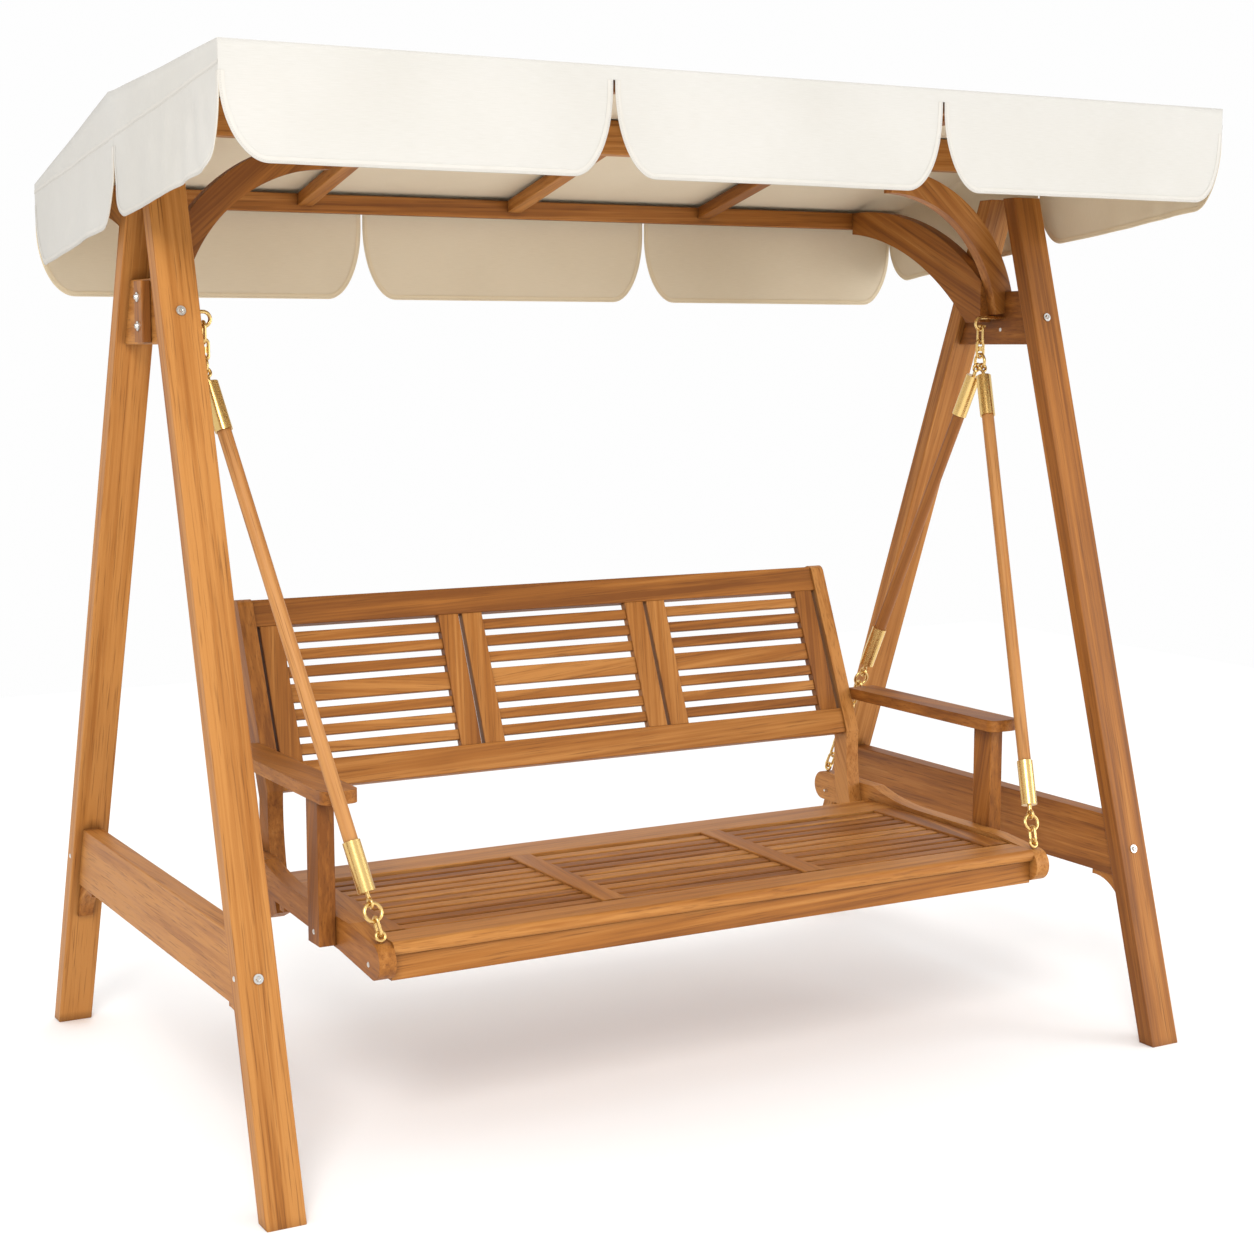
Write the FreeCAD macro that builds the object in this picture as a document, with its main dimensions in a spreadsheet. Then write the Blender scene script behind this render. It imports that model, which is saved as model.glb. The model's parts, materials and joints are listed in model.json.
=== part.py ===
import FreeCAD, Part
import math
import operator
import os
import Sketcher
from FreeCAD import Placement, Rotation, Vector

# Garden swing bench: two A-frames joined by a canopy frame, with a bench that
# hangs from one hook at each end.  Millimetres, +Z up, +X to the right, the
# front of the bench faces -Y, origin on the ground in the middle of the feet.

doc = FreeCAD.newDocument("swing_bench")
sheet = doc.addObject("Spreadsheet::Sheet", "Sizes")

SIZES = [
    # A-frames
    ("frame_width", 1978, "over the outer faces of the legs"),
    ("foot_span", 1309, "front foot to rear foot on the ground"),
    ("leg_top", 1743, "height of the leg tops"),
    ("leg_wide", 70, "leg section across the swing"),
    ("leg_deep", 40, "leg section front to back, measured level"),
    ("apex_back", -94.5, "middle of the gap between the leg tops"),
    ("apex_gap", 39, "gap between the leg tops"),
    ("stretcher_low", 328, "underside of the lower stretchers"),
    ("stretcher_tall", 124, "depth of the lower stretchers"),
    ("stretcher_thick", 38, "thickness of the lower stretchers"),
    ("cross_low", 1430, "underside of the upper crosspieces"),
    ("cross_tall", 115, "depth of the upper crosspieces"),
    ("cross_thick", 36, "thickness of the upper crosspieces"),
    ("cleat_wide", 46, "front to back width of the outer cleats"),
    ("cleat_short", 4, "cleat short of the crosspiece edges"),
    ("cleat_bolt_share", 0.28, "cleat bolts in from the crosspiece edges, share of its height"),
    ("bracket_drop", 74, "height of the corner brackets"),
    ("bracket_tip", 10, "thickness of a bracket at its tips"),
    ("bracket_bow", 1.25, "curve radius of a bracket as a share of its height"),
    ("bracket_reach", 84, "length of the corner brackets"),
    ("bracket_thick", 30, "thickness of the corner brackets"),
    # canopy frame
    ("beam_top", 1862, "top of the middle beam"),
    ("beam_tall", 66, "depth of the middle beam"),
    ("beam_thick", 40, "thickness of the middle beam"),
    ("rail_tall", 38, "depth of the front and rear canopy rails"),
    ("rail_thick", 30, "thickness of the canopy rails"),
    ("rail_past", 29, "canopy rail ends past the outer faces of the legs"),
    ("front_rail_back", -632, "middle of the front rail"),
    ("front_rail_top", 1884, "top of the front rail"),
    ("rear_rail_back", 420, "middle of the rear rail"),
    ("rear_rail_top", 1738, "top of the rear rail"),
    ("rafter_wide", 34, "width of the rafters"),
    ("rafter_deep", 26, "depth of the rafters"),
    ("rafter_pitch", 480, "spacing of the rafters"),
    ("arch_inner", 287, "inner radius of the end arches"),
    ("arch_outer", 337, "outer radius of the end arches"),
    ("arch_thick", 28, "thickness of the arches and arms"),
    ("arch_foot", 42, "how far the arch springs above its own centre"),
    ("arch_in", 291, "arch centre inboard of the legs"),
    ("arm_rise", 48, "foot of the rear arms above the crosspiece underside"),
    ("arm_above", 22, "root of the rear arms above the crosspiece top"),
    ("arm_bend", 690, "radius of the curved edges of the rear arms"),
    ("rafter_sink", 3, "rafter tops below the beam top"),
    ("tie_wide", 32, "width of the cloth ties"),
    ("tie_thick", 2, "thickness of the cloth ties"),
    ("tie_in", 24, "middle of the cloth ties in from the rail ends"),
    # canopy cloth
    ("cloth_thick", 3, "thickness of the canopy solid"),
    ("cloth_gap", 1, "clearance of the cloth over the wood"),
    ("flap_clear", 5, "clearance of the hanging flaps from the rails"),
    ("front_drop", 184, "drop of the front flaps"),
    ("rear_drop", 215, "drop of the rear flaps"),
    ("side_drop", 150, "drop of the side flaps below the side seam"),
    ("seam_front", 35, "side seam below the roof edge at the front"),
    ("seam_rear", 14, "side seam below the roof edge at the rear"),
    ("flap_round", 74, "corner radius of the flaps"),
    ("flap_band", 26, "uncut band above the slits"),
    ("slit_gap", 5, "gap between neighbouring flaps"),
    ("front_flaps", 3, "flaps along the front, and along the rear"),
    ("side_flaps", 2, "flaps along each side"),
    # suspension
    ("hook_in", 62, "hook bowl inboard of the crosspiece"),
    ("hook_back", -104, "hook position front to back, which is the swing axis"),
    ("hook_low", 1462, "height of the swing axis, at the bottom of the hook bowl"),
    ("hook_radius", 13, "centre-line radius of the hook bowl"),
    ("hook_turn", 250, "how far round the hook bowl runs, in degrees"),
    ("hook_wire", 3.5, "wire radius of the hooks"),
    ("link_wire", 3, "wire radius of the chain links"),
    ("link_half", 8.5, "half width of a link on its centre line"),
    ("link_long", 17, "half length of a link on its centre line"),
    ("link_slack", 1.3, "clearance between linked rings"),
    ("top_link_long", 19, "half length of the two links under a hook"),
    ("barrel_radius", 5.8, "radius of the swivel barrel in the lower of the two links"),
    ("barrel_long", 11, "length of the swivel barrel"),
    ("ring_radius", 16, "centre-line radius of the rings"),
    ("ring_wire", 3.2, "wire radius of the rings"),
    ("ring_spread", 10, "ferrule eyes to each side of the ring's lowest point"),
    ("hook_shank", 30, "length of the hook screw in the wood"),
    ("rod_radius", 13, "radius of the wooden rods"),
    ("ferrule_radius", 16, "outer radius of the brass ferrules"),
    ("ferrule_long", 92, "length of the brass ferrules"),
    ("ferrule_cap", 8, "solid end of a ferrule"),
    ("eye_radius", 8, "centre-line radius of the ferrule eyes"),
    ("stem_spare", 9, "stem between a ferrule and its eye"),
    ("rod_fit", 0.1, "clearance of a rod in its ferrule"),
    ("stem_radius", 4, "radius of the stem between ferrule and eye"),
    ("eye_shank", 34, "length of the screw eyes in the wood"),
    ("front_links", 1, "links under each front rod"),
    ("rear_links", 8, "links under each rear rod"),
    # seat
    ("member_half", 719, "middle of the side members"),
    ("member_thick", 32, "thickness of the side members"),
    ("member_proud", 9, "top of the side members above the seat"),
    ("member_ramp", 105, "length of the ramp behind the front nose"),
    ("member_toe", 150, "length of the thinner underside behind the front nose"),
    ("member_lift", 16, "how far that underside rises"),
    ("member_heel", 20, "underside bend behind the foot of the back"),
    ("member_run", 160, "level top ends this far ahead of the foot of the back"),
    ("member_hip", 10, "rear rise ends this far behind the foot of the back"),
    ("member_curve", 600, "radius of the rear rise"),
    ("nose_front", -504, "centre of the front nose"),
    ("nose_rear", 230, "centre of the rear nose"),
    ("nose_low", 378, "height of the front nose centre"),
    ("nose_high", 413, "height of the rear nose centre"),
    ("nose_radius", 32, "radius of both noses"),
    ("seat_top", 412, "top of the seat frame"),
    ("seat_thick", 24, "thickness of the seat frame"),
    ("seat_front", -525, "front edge of the seat"),
    ("front_board_deep", 80, "depth of the front board"),
    ("front_board_bow", 0.42, "edge round of the front board as a share of its thickness"),
    ("rear_board_front", -50, "front edge of the rear board"),
    ("rear_board_deep", 97, "depth of the rear board"),
    ("end_rail_wide", 56, "width of the seat end rails"),
    ("divider_wide", 48, "width of the seat dividers"),
    ("seat_slats", 10, "slats in each seat panel"),
    ("slat_gap", 11, "gap between seat slats"),
    ("slat_thick", 16, "thickness of the seat slats"),
    ("slat_sink", 4, "slat faces below the seat frame"),
    ("apron_tall", 46, "depth of the apron under the seat"),
    ("apron_thick", 24, "thickness of the apron"),
    ("apron_back", 12, "apron set back from the front edge"),
    # back
    ("stile_thick", 32, "thickness of the back stiles"),
    ("stile_deep", 52, "depth of the back stiles"),
    ("back_foot", 24, "where the back's front plane meets the seat top"),
    ("back_lean", 23, "degrees of lean of the back"),
    ("back_long", 563, "slope length of the back above the seat"),
    ("back_low", 166, "slope height of the bottom rail above the seat"),
    ("top_rail_low", 5, "top rail below the tops of the stiles"),
    ("stile_sink", 64, "stiles below the seat top, along the slope"),
    ("stile_kick", 56, "how far the stile feet swing back from the front plane"),
    ("stile_bend", 520, "radius of the curved lower part of the stiles"),
    ("stile_round", 18, "rounding of the stile tops"),
    ("back_rail_wide", 56, "width of the back rails"),
    ("back_thick", 24, "thickness of the back rails"),
    ("rail_inset", 4, "back rails behind the front faces of the stiles"),
    ("muntin_wide", 46, "width of the uprights between the rails"),
    ("panel_gap", 8, "gap between neighbouring back panels"),
    ("muntin_thick", 20, "thickness of the uprights"),
    ("narrow_slat", 22, "width of a narrow back slat"),
    ("wide_slat", 38, "width of the middle back slat"),
    ("back_slat_thick", 12, "thickness of the back slats"),
    # arms
    ("post_wide", 57, "arm post front to back"),
    ("post_thick", 32, "thickness of the arm posts"),
    ("post_middle", -312, "middle of the arm posts"),
    ("post_lift", 22, "foot of the arm posts above the front nose's lowest point"),
    ("post_screw_up", 12, "screw in a post above the middle of the front nose"),
    ("stile_screw_back", 56, "screw in a stile behind the foot of the back"),
    ("stile_screw_down", 4, "screw in a stile below the top of the seat"),
    ("arm_top", 656, "top of the armrests"),
    ("arm_thick", 24, "thickness of the armrests"),
    ("armrest_wide", 70, "width of the armrests"),
    ("arm_clear", 9, "gap from an armrest's front end to the rod that passes it"),
    ("arm_back", 132, "rear end of the armrests"),
    ("arm_round", 20, "corner rounding of the armrests"),
    # fasteners
    ("bolt_radius", 4, "radius of the frame bolts"),
    ("washer_radius", 8.5, "radius of the washers"),
    ("washer_thick", 2, "thickness of the washers"),
    ("head_taper", 0.7, "outer end of a head as a share of its radius"),
    ("head_radius", 5.4, "radius of the bolt heads"),
    ("head_tall", 4, "height of the bolt heads"),
    ("socket_radius", 2.6, "radius of the socket in a bolt head"),
    ("socket_deep", 2.4, "depth of the socket in a bolt head"),
    ("bolt_reach", 110, "length of the frame bolts"),
    ("screw_radius", 5, "radius of the screw heads"),
    ("screw_tall", 1.2, "height of the screw heads"),
    ("screw_long", 40, "length of the seat screws"),
    ("screw_in", 18, "nose screws in from the nose centres"),
    ("screw_down", 9, "nose screws below the nose centres"),
    ("cap_screw_long", 24, "length of the screws in the legs"),
    ("ease", 2.5, "rounding of the wood's long edges"),
]


class Size:
    """A length together with the sheet expression that gives it."""

    def __init__(self, value, text):
        self.value = float(value)
        self.text = text

    def join(self, other, sign, work, swap=False):
        other = other if isinstance(other, Size) else Size(other, repr(float(other)))
        first, second = (other, self) if swap else (self, other)
        return Size(work(first.value, second.value), "(%s %s %s)" % (first.text, sign, second.text))

    def __add__(self, other):
        return self.join(other, "+", operator.add)

    def __radd__(self, other):
        return self.join(other, "+", operator.add, True)

    def __sub__(self, other):
        return self.join(other, "-", operator.sub)

    def __rsub__(self, other):
        return self.join(other, "-", operator.sub, True)

    def __mul__(self, other):
        return self.join(other, "*", operator.mul)

    def __rmul__(self, other):
        return self.join(other, "*", operator.mul, True)

    def __truediv__(self, other):
        return self.join(other, "/", operator.truediv)

    def __neg__(self):
        return self * -1.0

    def __float__(self):
        return self.value


class Table:
    """The sheet's cells by name: S.leg_top is the size in the cell leg_top."""


S = Table()
for row, (alias, number, note) in enumerate(SIZES, start=1):
    sheet.set("A%d" % row, alias)
    sheet.set("B%d" % row, str(number))
    sheet.setAlias("B%d" % row, alias)
    sheet.set("C%d" % row, note)
doc.recompute()
for alias, number, note in SIZES:
    setattr(S, alias, Size(sheet.get(alias), "Sizes." + alias))

nodes = []
tools = [0]


def bind(thing, name, size):
    """Set a property from the sheet, or to a plain number."""
    setattr(thing, name, float(size))
    if isinstance(size, Size):
        thing.setExpression(name, size.text)


def vec(x, y, z):
    return Vector(float(x), float(y), float(z))


def node(thing, label):
    """Give a finished piece its name and put it on the list that is exported."""
    thing.Label = label
    nodes.append(thing)
    return thing


def primitive(kind, place=None, **sizes):
    """A Part primitive with its sizes bound to the sheet."""
    tools[0] += 1
    thing = doc.addObject("Part::" + kind, "%s_%d" % (kind.lower(), tools[0]))
    for name, size in sizes.items():
        bind(thing, name, size)
    if place is not None:
        thing.Placement = place
    return thing


def at(x, y, z, rotation=None):
    return Placement(vec(x, y, z), rotation or Rotation())


def union(pieces, place=None):
    """One solid from several that overlap."""
    tools[0] += 1
    thing = doc.addObject("Part::MultiFuse", "fuse_%d" % tools[0])
    thing.Shapes = pieces
    if place is not None:
        thing.Placement = place
    return thing


def group(pieces, label):
    """Several separate solids that share one node."""
    tools[0] += 1
    thing = doc.addObject("Part::Compound", "group_%d" % tools[0])
    thing.Links = pieces
    return node(thing, label)


def cut(base, tool):
    """A piece with another shape taken out of it."""
    tools[0] += 1
    thing = doc.addObject("Part::Cut", "cut_%d" % tools[0])
    thing.Base = base
    thing.Tool = tool
    return thing


def block(low, high, round_edges=None):
    """A straight board between two corners, with its long edges eased."""
    spans = [far - near for near, far in zip(low, high)]
    board = primitive("Box", at(*low), Length=spans[0], Width=spans[1], Height=spans[2])
    doc.recompute()
    radius = round_edges or S.ease
    longest = max(float(span) for span in spans)
    edges = [number for number, edge in enumerate(board.Shape.Edges, start=1)
             if abs(edge.Length - longest) < 0.01]
    return rounded(board, edges, radius)


def rounded(base, edges, radius):
    """Fillet numbered edges of a shape by one radius."""
    tools[0] += 1
    fillet = doc.addObject("Part::Fillet", "round_%d" % tools[0])
    fillet.Base = base
    fillet.Edges = [(number, float(radius), float(radius)) for number in edges]
    return fillet


def arc_between(start, end, radius):
    """Centre and angles of an arc; a positive radius turns anticlockwise."""
    half = (end - start) * 0.5
    size = abs(radius)
    rise = math.sqrt(max(size * size - half.Length ** 2, 0.0))
    side = Vector(-half.y, half.x, 0).normalize() * (rise if radius > 0 else -rise)
    centre = start + half + side
    first, last = (start, end) if radius > 0 else (end, start)
    first_turn, last_turn = [math.atan2(point.y - centre.y, point.x - centre.x)
                             for point in (first, last)]
    return centre, first_turn, last_turn


def outline(body, plane, points, arcs):
    """A closed sketch whose corners are sheet sizes; arcs maps a side to its radius."""
    sketch = body.newObject("Sketcher::SketchObject", body.Name + "_outline")
    face = [item for item in body.Origin.OriginFeatures if item.Role == plane][0]
    sketch.AttachmentSupport = [(face, "")]
    sketch.MapMode = "FlatFace"
    spots = [Vector(float(u), float(v), 0) for u, v in points]
    ends = []
    for side, (start, end) in enumerate(zip(spots, spots[1:] + spots[:1])):
        if side in arcs:
            radius = float(arcs[side])
            centre, first, last = arc_between(start, end, radius)
            circle = Part.Circle(centre, Vector(0, 0, 1), abs(radius))
            sketch.addGeometry(Part.ArcOfCircle(circle, first, last), False)
            ends.append((1, 2) if radius > 0 else (2, 1))
        else:
            sketch.addGeometry(Part.LineSegment(start, end), False)
            ends.append((1, 2))
    count = len(spots)
    for side in range(count):
        follow = (side + 1) % count
        sketch.addConstraint(Sketcher.Constraint("Coincident", side, ends[side][1],
                                                 follow, ends[follow][0]))
    for side, (u, v) in enumerate(points):
        for kind, size in (("DistanceX", u), ("DistanceY", v)):
            index = sketch.addConstraint(Sketcher.Constraint(kind, -1, 1, side, ends[side][0],
                                                             float(size)))
            if isinstance(size, Size):
                sketch.setExpression("Constraints[%d]" % index, size.text)
    for side, radius in arcs.items():
        index = sketch.addConstraint(Sketcher.Constraint("Radius", side, abs(float(radius))))
        if isinstance(radius, Size):
            text = radius.text if float(radius) > 0 else (-radius).text
            sketch.setExpression("Constraints[%d]" % index, text)
    return sketch


def plank(plane, points, thick, middle, arcs=None):
    """A flat piece sawn to an outline, centred on its own plane at `middle`."""
    tools[0] += 1
    body = doc.addObject("PartDesign::Body", "plank_%d" % tools[0])
    sketch = outline(body, plane, points, arcs or {})
    pad = body.newObject("PartDesign::Pad", body.Name + "_pad")
    pad.Profile = sketch
    bind(pad, "Length", thick)
    pad.SideType = "Symmetric"
    body.Tip = pad
    doc.recompute()
    if not arcs:
        normal = {"YZ_Plane": Vector(1, 0, 0), "XZ_Plane": Vector(0, 1, 0),
                  "XY_Plane": Vector(0, 0, 1)}[plane]
        rim = ["Edge%d" % number for number, edge in enumerate(pad.Shape.Edges, start=1)
               if not runs_along(edge, normal)]
        easing = body.newObject("PartDesign::Fillet", body.Name + "_ease")
        easing.Base = (pad, rim)
        bind(easing, "Radius", S.ease)
        body.Tip = easing
    body.Placement.Base = {"YZ_Plane": vec(middle, 0, 0), "XZ_Plane": vec(0, middle, 0),
                           "XY_Plane": vec(0, 0, middle)}[plane]
    return body


def runs_along(edge, normal):
    first, last = edge.Vertexes[0].Point, edge.Vertexes[-1].Point
    return (last - first).Length > 0 and (last - first).normalize().cross(normal).Length < 1e-6


# ---------------------------------------------------------------- A-frames
foot = S.foot_span / 2
outer = S.frame_width / 2
leg_middle = outer - S.leg_wide / 2
front_slope = (S.apex_back - S.apex_gap / 2 + foot - S.leg_deep) / S.leg_top
rear_slope = (foot - S.leg_deep - S.apex_back - S.apex_gap / 2) / S.leg_top


def behind_front_leg(height):
    """Rear face of a front leg at a height."""
    return S.leg_deep - foot + front_slope * height


def before_rear_leg(height):
    """Front face of a rear leg at a height."""
    return foot - S.leg_deep - rear_slope * height


def leg(front):
    low = behind_front_leg if front else before_rear_leg
    step = -S.leg_deep if front else S.leg_deep
    return [(low(0 * S.leg_top), 0), (low(S.leg_top), S.leg_top),
            (low(S.leg_top) + step, S.leg_top), (low(0 * S.leg_top) + step, 0)]


def between_legs(low, tall):
    return [(behind_front_leg(low), low), (before_rear_leg(low), low),
            (before_rear_leg(low + tall), low + tall), (behind_front_leg(low + tall), low + tall)]


def bolt_place(front, side, height):
    """On a leg's outer face at a height, with +Z running into the wood."""
    slope = front_slope if front else rear_slope
    lean = math.degrees(math.atan(float(slope)))
    if front:
        back = behind_front_leg(height) - S.leg_deep
        return at(side * leg_middle, back, height, Rotation(Vector(1, 0, 0), -90 - lean))
    back = before_rear_leg(height) + S.leg_deep
    return at(side * leg_middle, back, height, Rotation(Vector(1, 0, 0), 90 + lean))


def bolt(place, length):
    """A bolt with a washer and a domed head, its shank along +Z."""
    dome = primitive("Cone", at(0, 0, -S.washer_thick - S.head_tall), Height=S.head_tall,
                     Radius1=S.head_radius * S.head_taper, Radius2=S.head_radius)
    socket = primitive("Cylinder", at(0, 0, -S.washer_thick - S.head_tall),
                       Radius=S.socket_radius, Height=S.socket_deep)
    washer = primitive("Cylinder", at(0, 0, -S.washer_thick), Radius=S.washer_radius,
                       Height=S.washer_thick)
    shank = primitive("Cylinder", at(0, 0, -S.washer_thick), Radius=S.bolt_radius,
                      Height=length + S.washer_thick)
    return union([cut(dome, socket), washer, shank], place)


def bored(piece, places):
    """A piece with a bolt hole at each place."""
    drills = [primitive("Cylinder", place, Radius=S.bolt_radius, Height=S.bolt_reach)
              for place in places]
    return cut(piece, union(drills) if len(drills) > 1 else drills[0])


stretcher_mid = S.stretcher_low + S.stretcher_tall / 2
cross_mid = S.cross_low + S.cross_tall / 2
frame_bolts = []
side_screws = []


def screw(place, length):
    """A countersunk screw with a low head proud of the wood, its shank along +Z."""
    head = primitive("Cone", at(0, 0, -S.screw_tall), Height=S.screw_tall,
                     Radius1=S.screw_radius * S.head_taper, Radius2=S.screw_radius)
    shank = primitive("Cylinder", at(0, 0, -S.screw_tall / 2), Radius=S.screw_radius / 2,
                      Height=length)
    return union([head, shank], place)


def facing(x, y, z, axis, turn):
    return at(x, y, z, Rotation(Vector(*axis), turn))


def cleat_places(side):
    """The two bolts through a cleat, entering at its outer face."""
    return [facing(side * outer, S.apex_back, S.cross_low + S.cross_tall * share, (0, 1, 0),
                   -90 * side) for share in (S.cleat_bolt_share, 1 - S.cleat_bolt_share)]


for side, hand in ((-1, "left"), (1, "right")):
    for front, end in ((True, "front"), (False, "rear")):
        places = [bolt_place(front, side, height) for height in (stretcher_mid, cross_mid)]
        body = plank("YZ_Plane", leg(front), S.leg_wide, side * leg_middle)
        node(bored(body, places), "leg_%s_%s" % (end, hand))
        frame_bolts += [bolt(place, S.bolt_reach) for place in places]
    for label, low, tall, thick in (("stretcher", S.stretcher_low, S.stretcher_tall, S.stretcher_thick),
                                    ("crosspiece", S.cross_low, S.cross_tall, S.cross_thick)):
        body = plank("YZ_Plane", between_legs(low, tall), thick, side * leg_middle)
        ends = [bolt_place(front, side, low + tall / 2) for front in (True, False)]
        if label == "crosspiece":
            ends += cleat_places(side)
        node(bored(body, ends), "%s_%s" % (label, hand))
doc.recompute()


def bracket(front):
    """A concave corner bracket in the angle under a stretcher."""
    top = S.stretcher_low
    face = behind_front_leg if front else before_rear_leg
    turn = 1 if front else -1
    points = [(face(top), top), (face(top - S.bracket_drop), top - S.bracket_drop),
              (face(top - S.bracket_drop) + turn * S.bracket_tip, top - S.bracket_drop),
              (face(top) + turn * S.bracket_reach, top - S.bracket_tip),
              (face(top) + turn * S.bracket_reach, top)]
    return points, {2: -turn * S.bracket_drop * S.bracket_bow}


brackets = []
for side in (-1, 1):
    for front in (True, False):
        points, arcs = bracket(front)
        brackets.append(plank("YZ_Plane", points, S.bracket_thick, side * leg_middle, arcs))
group(brackets, "corner_brackets")

cross_face = leg_middle - S.cross_thick / 2
cleat_thick = S.leg_wide / 2 - S.cross_thick / 2
cleat_bolts = []
for side, hand in ((-1, "left"), (1, "right")):
    inner = side * (outer - cleat_thick)
    low_x, high_x = (-outer, inner) if side < 0 else (inner, outer)
    cleat = block((low_x, S.apex_back - S.cleat_wide / 2, S.cross_low + S.cleat_short),
                  (high_x, S.apex_back + S.cleat_wide / 2, S.cross_low + S.cross_tall - S.cleat_short))
    places = cleat_places(side)
    node(bored(cleat, places), "cleat_" + hand)
    cleat_bolts += [bolt(place, cleat_thick + S.cross_thick) for place in places]

# ------------------------------------------------------------ canopy frame
beam_back = S.apex_back
beam_low = S.beam_top - S.beam_tall
arch_centre_high = beam_low - S.arch_outer
arch_centre_in = outer - S.leg_wide - S.arch_in
rail_half = outer + S.rail_past
node(block((-rail_half, beam_back - S.beam_thick / 2, beam_low),
           (rail_half, beam_back + S.beam_thick / 2, S.beam_top)), "middle_beam")
for label, back, top in (("front_rail", S.front_rail_back, S.front_rail_top),
                         ("rear_rail", S.rear_rail_back, S.rear_rail_top)):
    node(block((-rail_half, back - S.rail_thick / 2, top - S.rail_tall),
               (rail_half, back + S.rail_thick / 2, top)), label)

front_fall = (S.front_rail_top - S.beam_top) / (beam_back - S.front_rail_back)
rear_fall = (S.beam_top - S.rear_rail_top) / (S.rear_rail_back - beam_back)


def rafter(front):
    """A sloping rafter between the middle beam and a rail."""
    if front:
        near, far = beam_back - S.beam_thick / 2, S.front_rail_back + S.rail_thick / 2
        slope = -front_fall
    else:
        near, far = beam_back + S.beam_thick / 2, S.rear_rail_back - S.rail_thick / 2
        slope = -rear_fall
    near_high, far_high = [S.beam_top - S.rafter_sink + slope * (back - beam_back)
                           for back in (near, far)]
    return [(near, near_high), (near, near_high - S.rafter_deep),
            (far, far_high - S.rafter_deep), (far, far_high)]


for front, end in ((True, "front"), (False, "rear")):
    group([plank("YZ_Plane", rafter(front), S.rafter_wide, step * S.rafter_pitch)
           for step in (-1, 0, 1)], "rafters_" + end)


def quarter(centre, turn, spread, trim):
    """Part of a ring, its axis turned by `turn`, with `trim` taken off."""
    big = primitive("Cylinder", at(0, 0, 0), Radius=S.arch_outer, Height=S.arch_thick, Angle=spread)
    small = primitive("Cylinder", at(0, 0, -1), Radius=S.arch_inner, Height=S.arch_thick + 2)
    ring = cut(big, small)
    ring.Placement = Placement(centre, turn)
    return cut(ring, trim)


foot_angle = math.degrees(math.asin(float(S.arch_foot / S.arch_outer)))
for side, hand in ((-1, "left"), (1, "right")):
    upright = Rotation(Vector(1, 0, 0), 90)
    sweep = upright * Rotation(Vector(0, 0, 1), foot_angle if side > 0 else 90)
    wall_x = cross_face if side > 0 else -cross_face - S.cross_thick
    wall = primitive("Box", at(wall_x, beam_back - S.arch_thick, S.cross_low), Length=S.cross_thick,
                     Width=S.arch_thick * 2, Height=S.cross_tall)
    centre = vec(side * arch_centre_in, beam_back + S.arch_thick / 2, arch_centre_high)
    node(quarter(centre, sweep, 90 - foot_angle, wall), "arch_" + hand)

arm_middle = outer - S.leg_wide - S.arch_thick / 2
arm_low = S.cross_low + S.arm_rise
arm_depth = S.arch_outer - S.arch_inner
arm_start = S.apex_back + S.arch_thick / 2
arm_far = S.rear_rail_back - S.rail_thick / 2
for side, hand in ((-1, "left"), (1, "right")):
    points = [(arm_start, arm_low), (arm_start + arm_depth, arm_low),
              (arm_far, S.rear_rail_top - arm_depth), (arm_far, S.rear_rail_top - 1),
              (arm_start, S.cross_low + S.cross_tall + S.arm_above)]
    arcs = {1: -S.arm_bend, 3: S.arm_bend}
    node(plank("YZ_Plane", points, S.arch_thick, side * arm_middle, arcs), "rear_arm_" + hand)

doc.recompute()
# ------------------------------------------------------------ canopy cloth
cloth_half = rail_half + S.flap_clear + S.cloth_thick
cloth_reach = S.rail_thick / 2 + S.flap_clear + S.cloth_thick
front_fold = S.front_rail_back - cloth_reach
rear_fold = S.rear_rail_back + cloth_reach


def along(start, end, back):
    """Height at `back` of the line through two (back, height) points."""
    return start[1] + (end[1] - start[1]) * ((back - start[0]) / (end[0] - start[0]))


def cloth_section():
    """Upper corners of the roof: front fold, kink over the beam, rear fold."""
    lift = S.beam_top + S.cloth_gap
    ridge_front = (beam_back - S.beam_thick / 2, lift)
    ridge_rear = (beam_back + S.beam_thick / 2, lift)
    front_edge = (S.front_rail_back + S.rail_thick / 2, S.front_rail_top + S.cloth_gap)
    rear_edge = (S.rear_rail_back + S.rail_thick / 2, S.rear_rail_top + S.cloth_gap)
    return [(front_fold, along(front_edge, ridge_front, front_fold)), ridge_front, ridge_rear,
            (rear_fold, along(ridge_rear, rear_edge, rear_fold))]


def solid_face(points, push):
    """Extrude a closed flat outline; points may be (first, middle, last) arcs."""
    edges = []
    for item in points:
        edges.append(Part.LineSegment(*item).toShape() if len(item) == 2 else Part.Arc(*item).toShape())
    return Part.Face(Part.Wire(edges)).extrude(push)


def chain_of(points):
    """The straight sides of a closed outline."""
    return list(zip(points, points[1:] + points[:1]))


def flap(spot, near, far, drop, band, radius):
    """Sides of one hanging flap; `spot` turns (along, down) into a point."""
    lift = radius * (1 - math.sqrt(0.5))
    return [(spot(near, band), spot(near, drop - radius)),
            (spot(near, drop - radius), spot(near + lift, drop - lift), spot(near + radius, drop)),
            (spot(near + radius, drop), spot(far - radius, drop)),
            (spot(far - radius, drop), spot(far - lift, drop - lift), spot(far, drop - radius)),
            (spot(far, drop - radius), spot(far, band)),
            (spot(far, band), spot(near, band))]


def valance(spot, start, end, top, count, drop, push):
    """A band along a roof edge, from `top` down, with its row of flaps."""
    band, radius, gap = float(S.flap_band), float(S.flap_round), float(S.slit_gap)
    rim = chain_of([spot(start, top), spot(end, top), spot(end, band), spot(start, band)])
    pieces = [solid_face(rim, push)]
    count = int(float(count))
    step = (end - start) / count
    for number in range(count):
        near = start + number * step + gap / 2
        far = near + step - gap
        pieces.append(solid_face(flap(spot, near, far, float(drop), band, radius), push))
    return pieces


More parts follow.
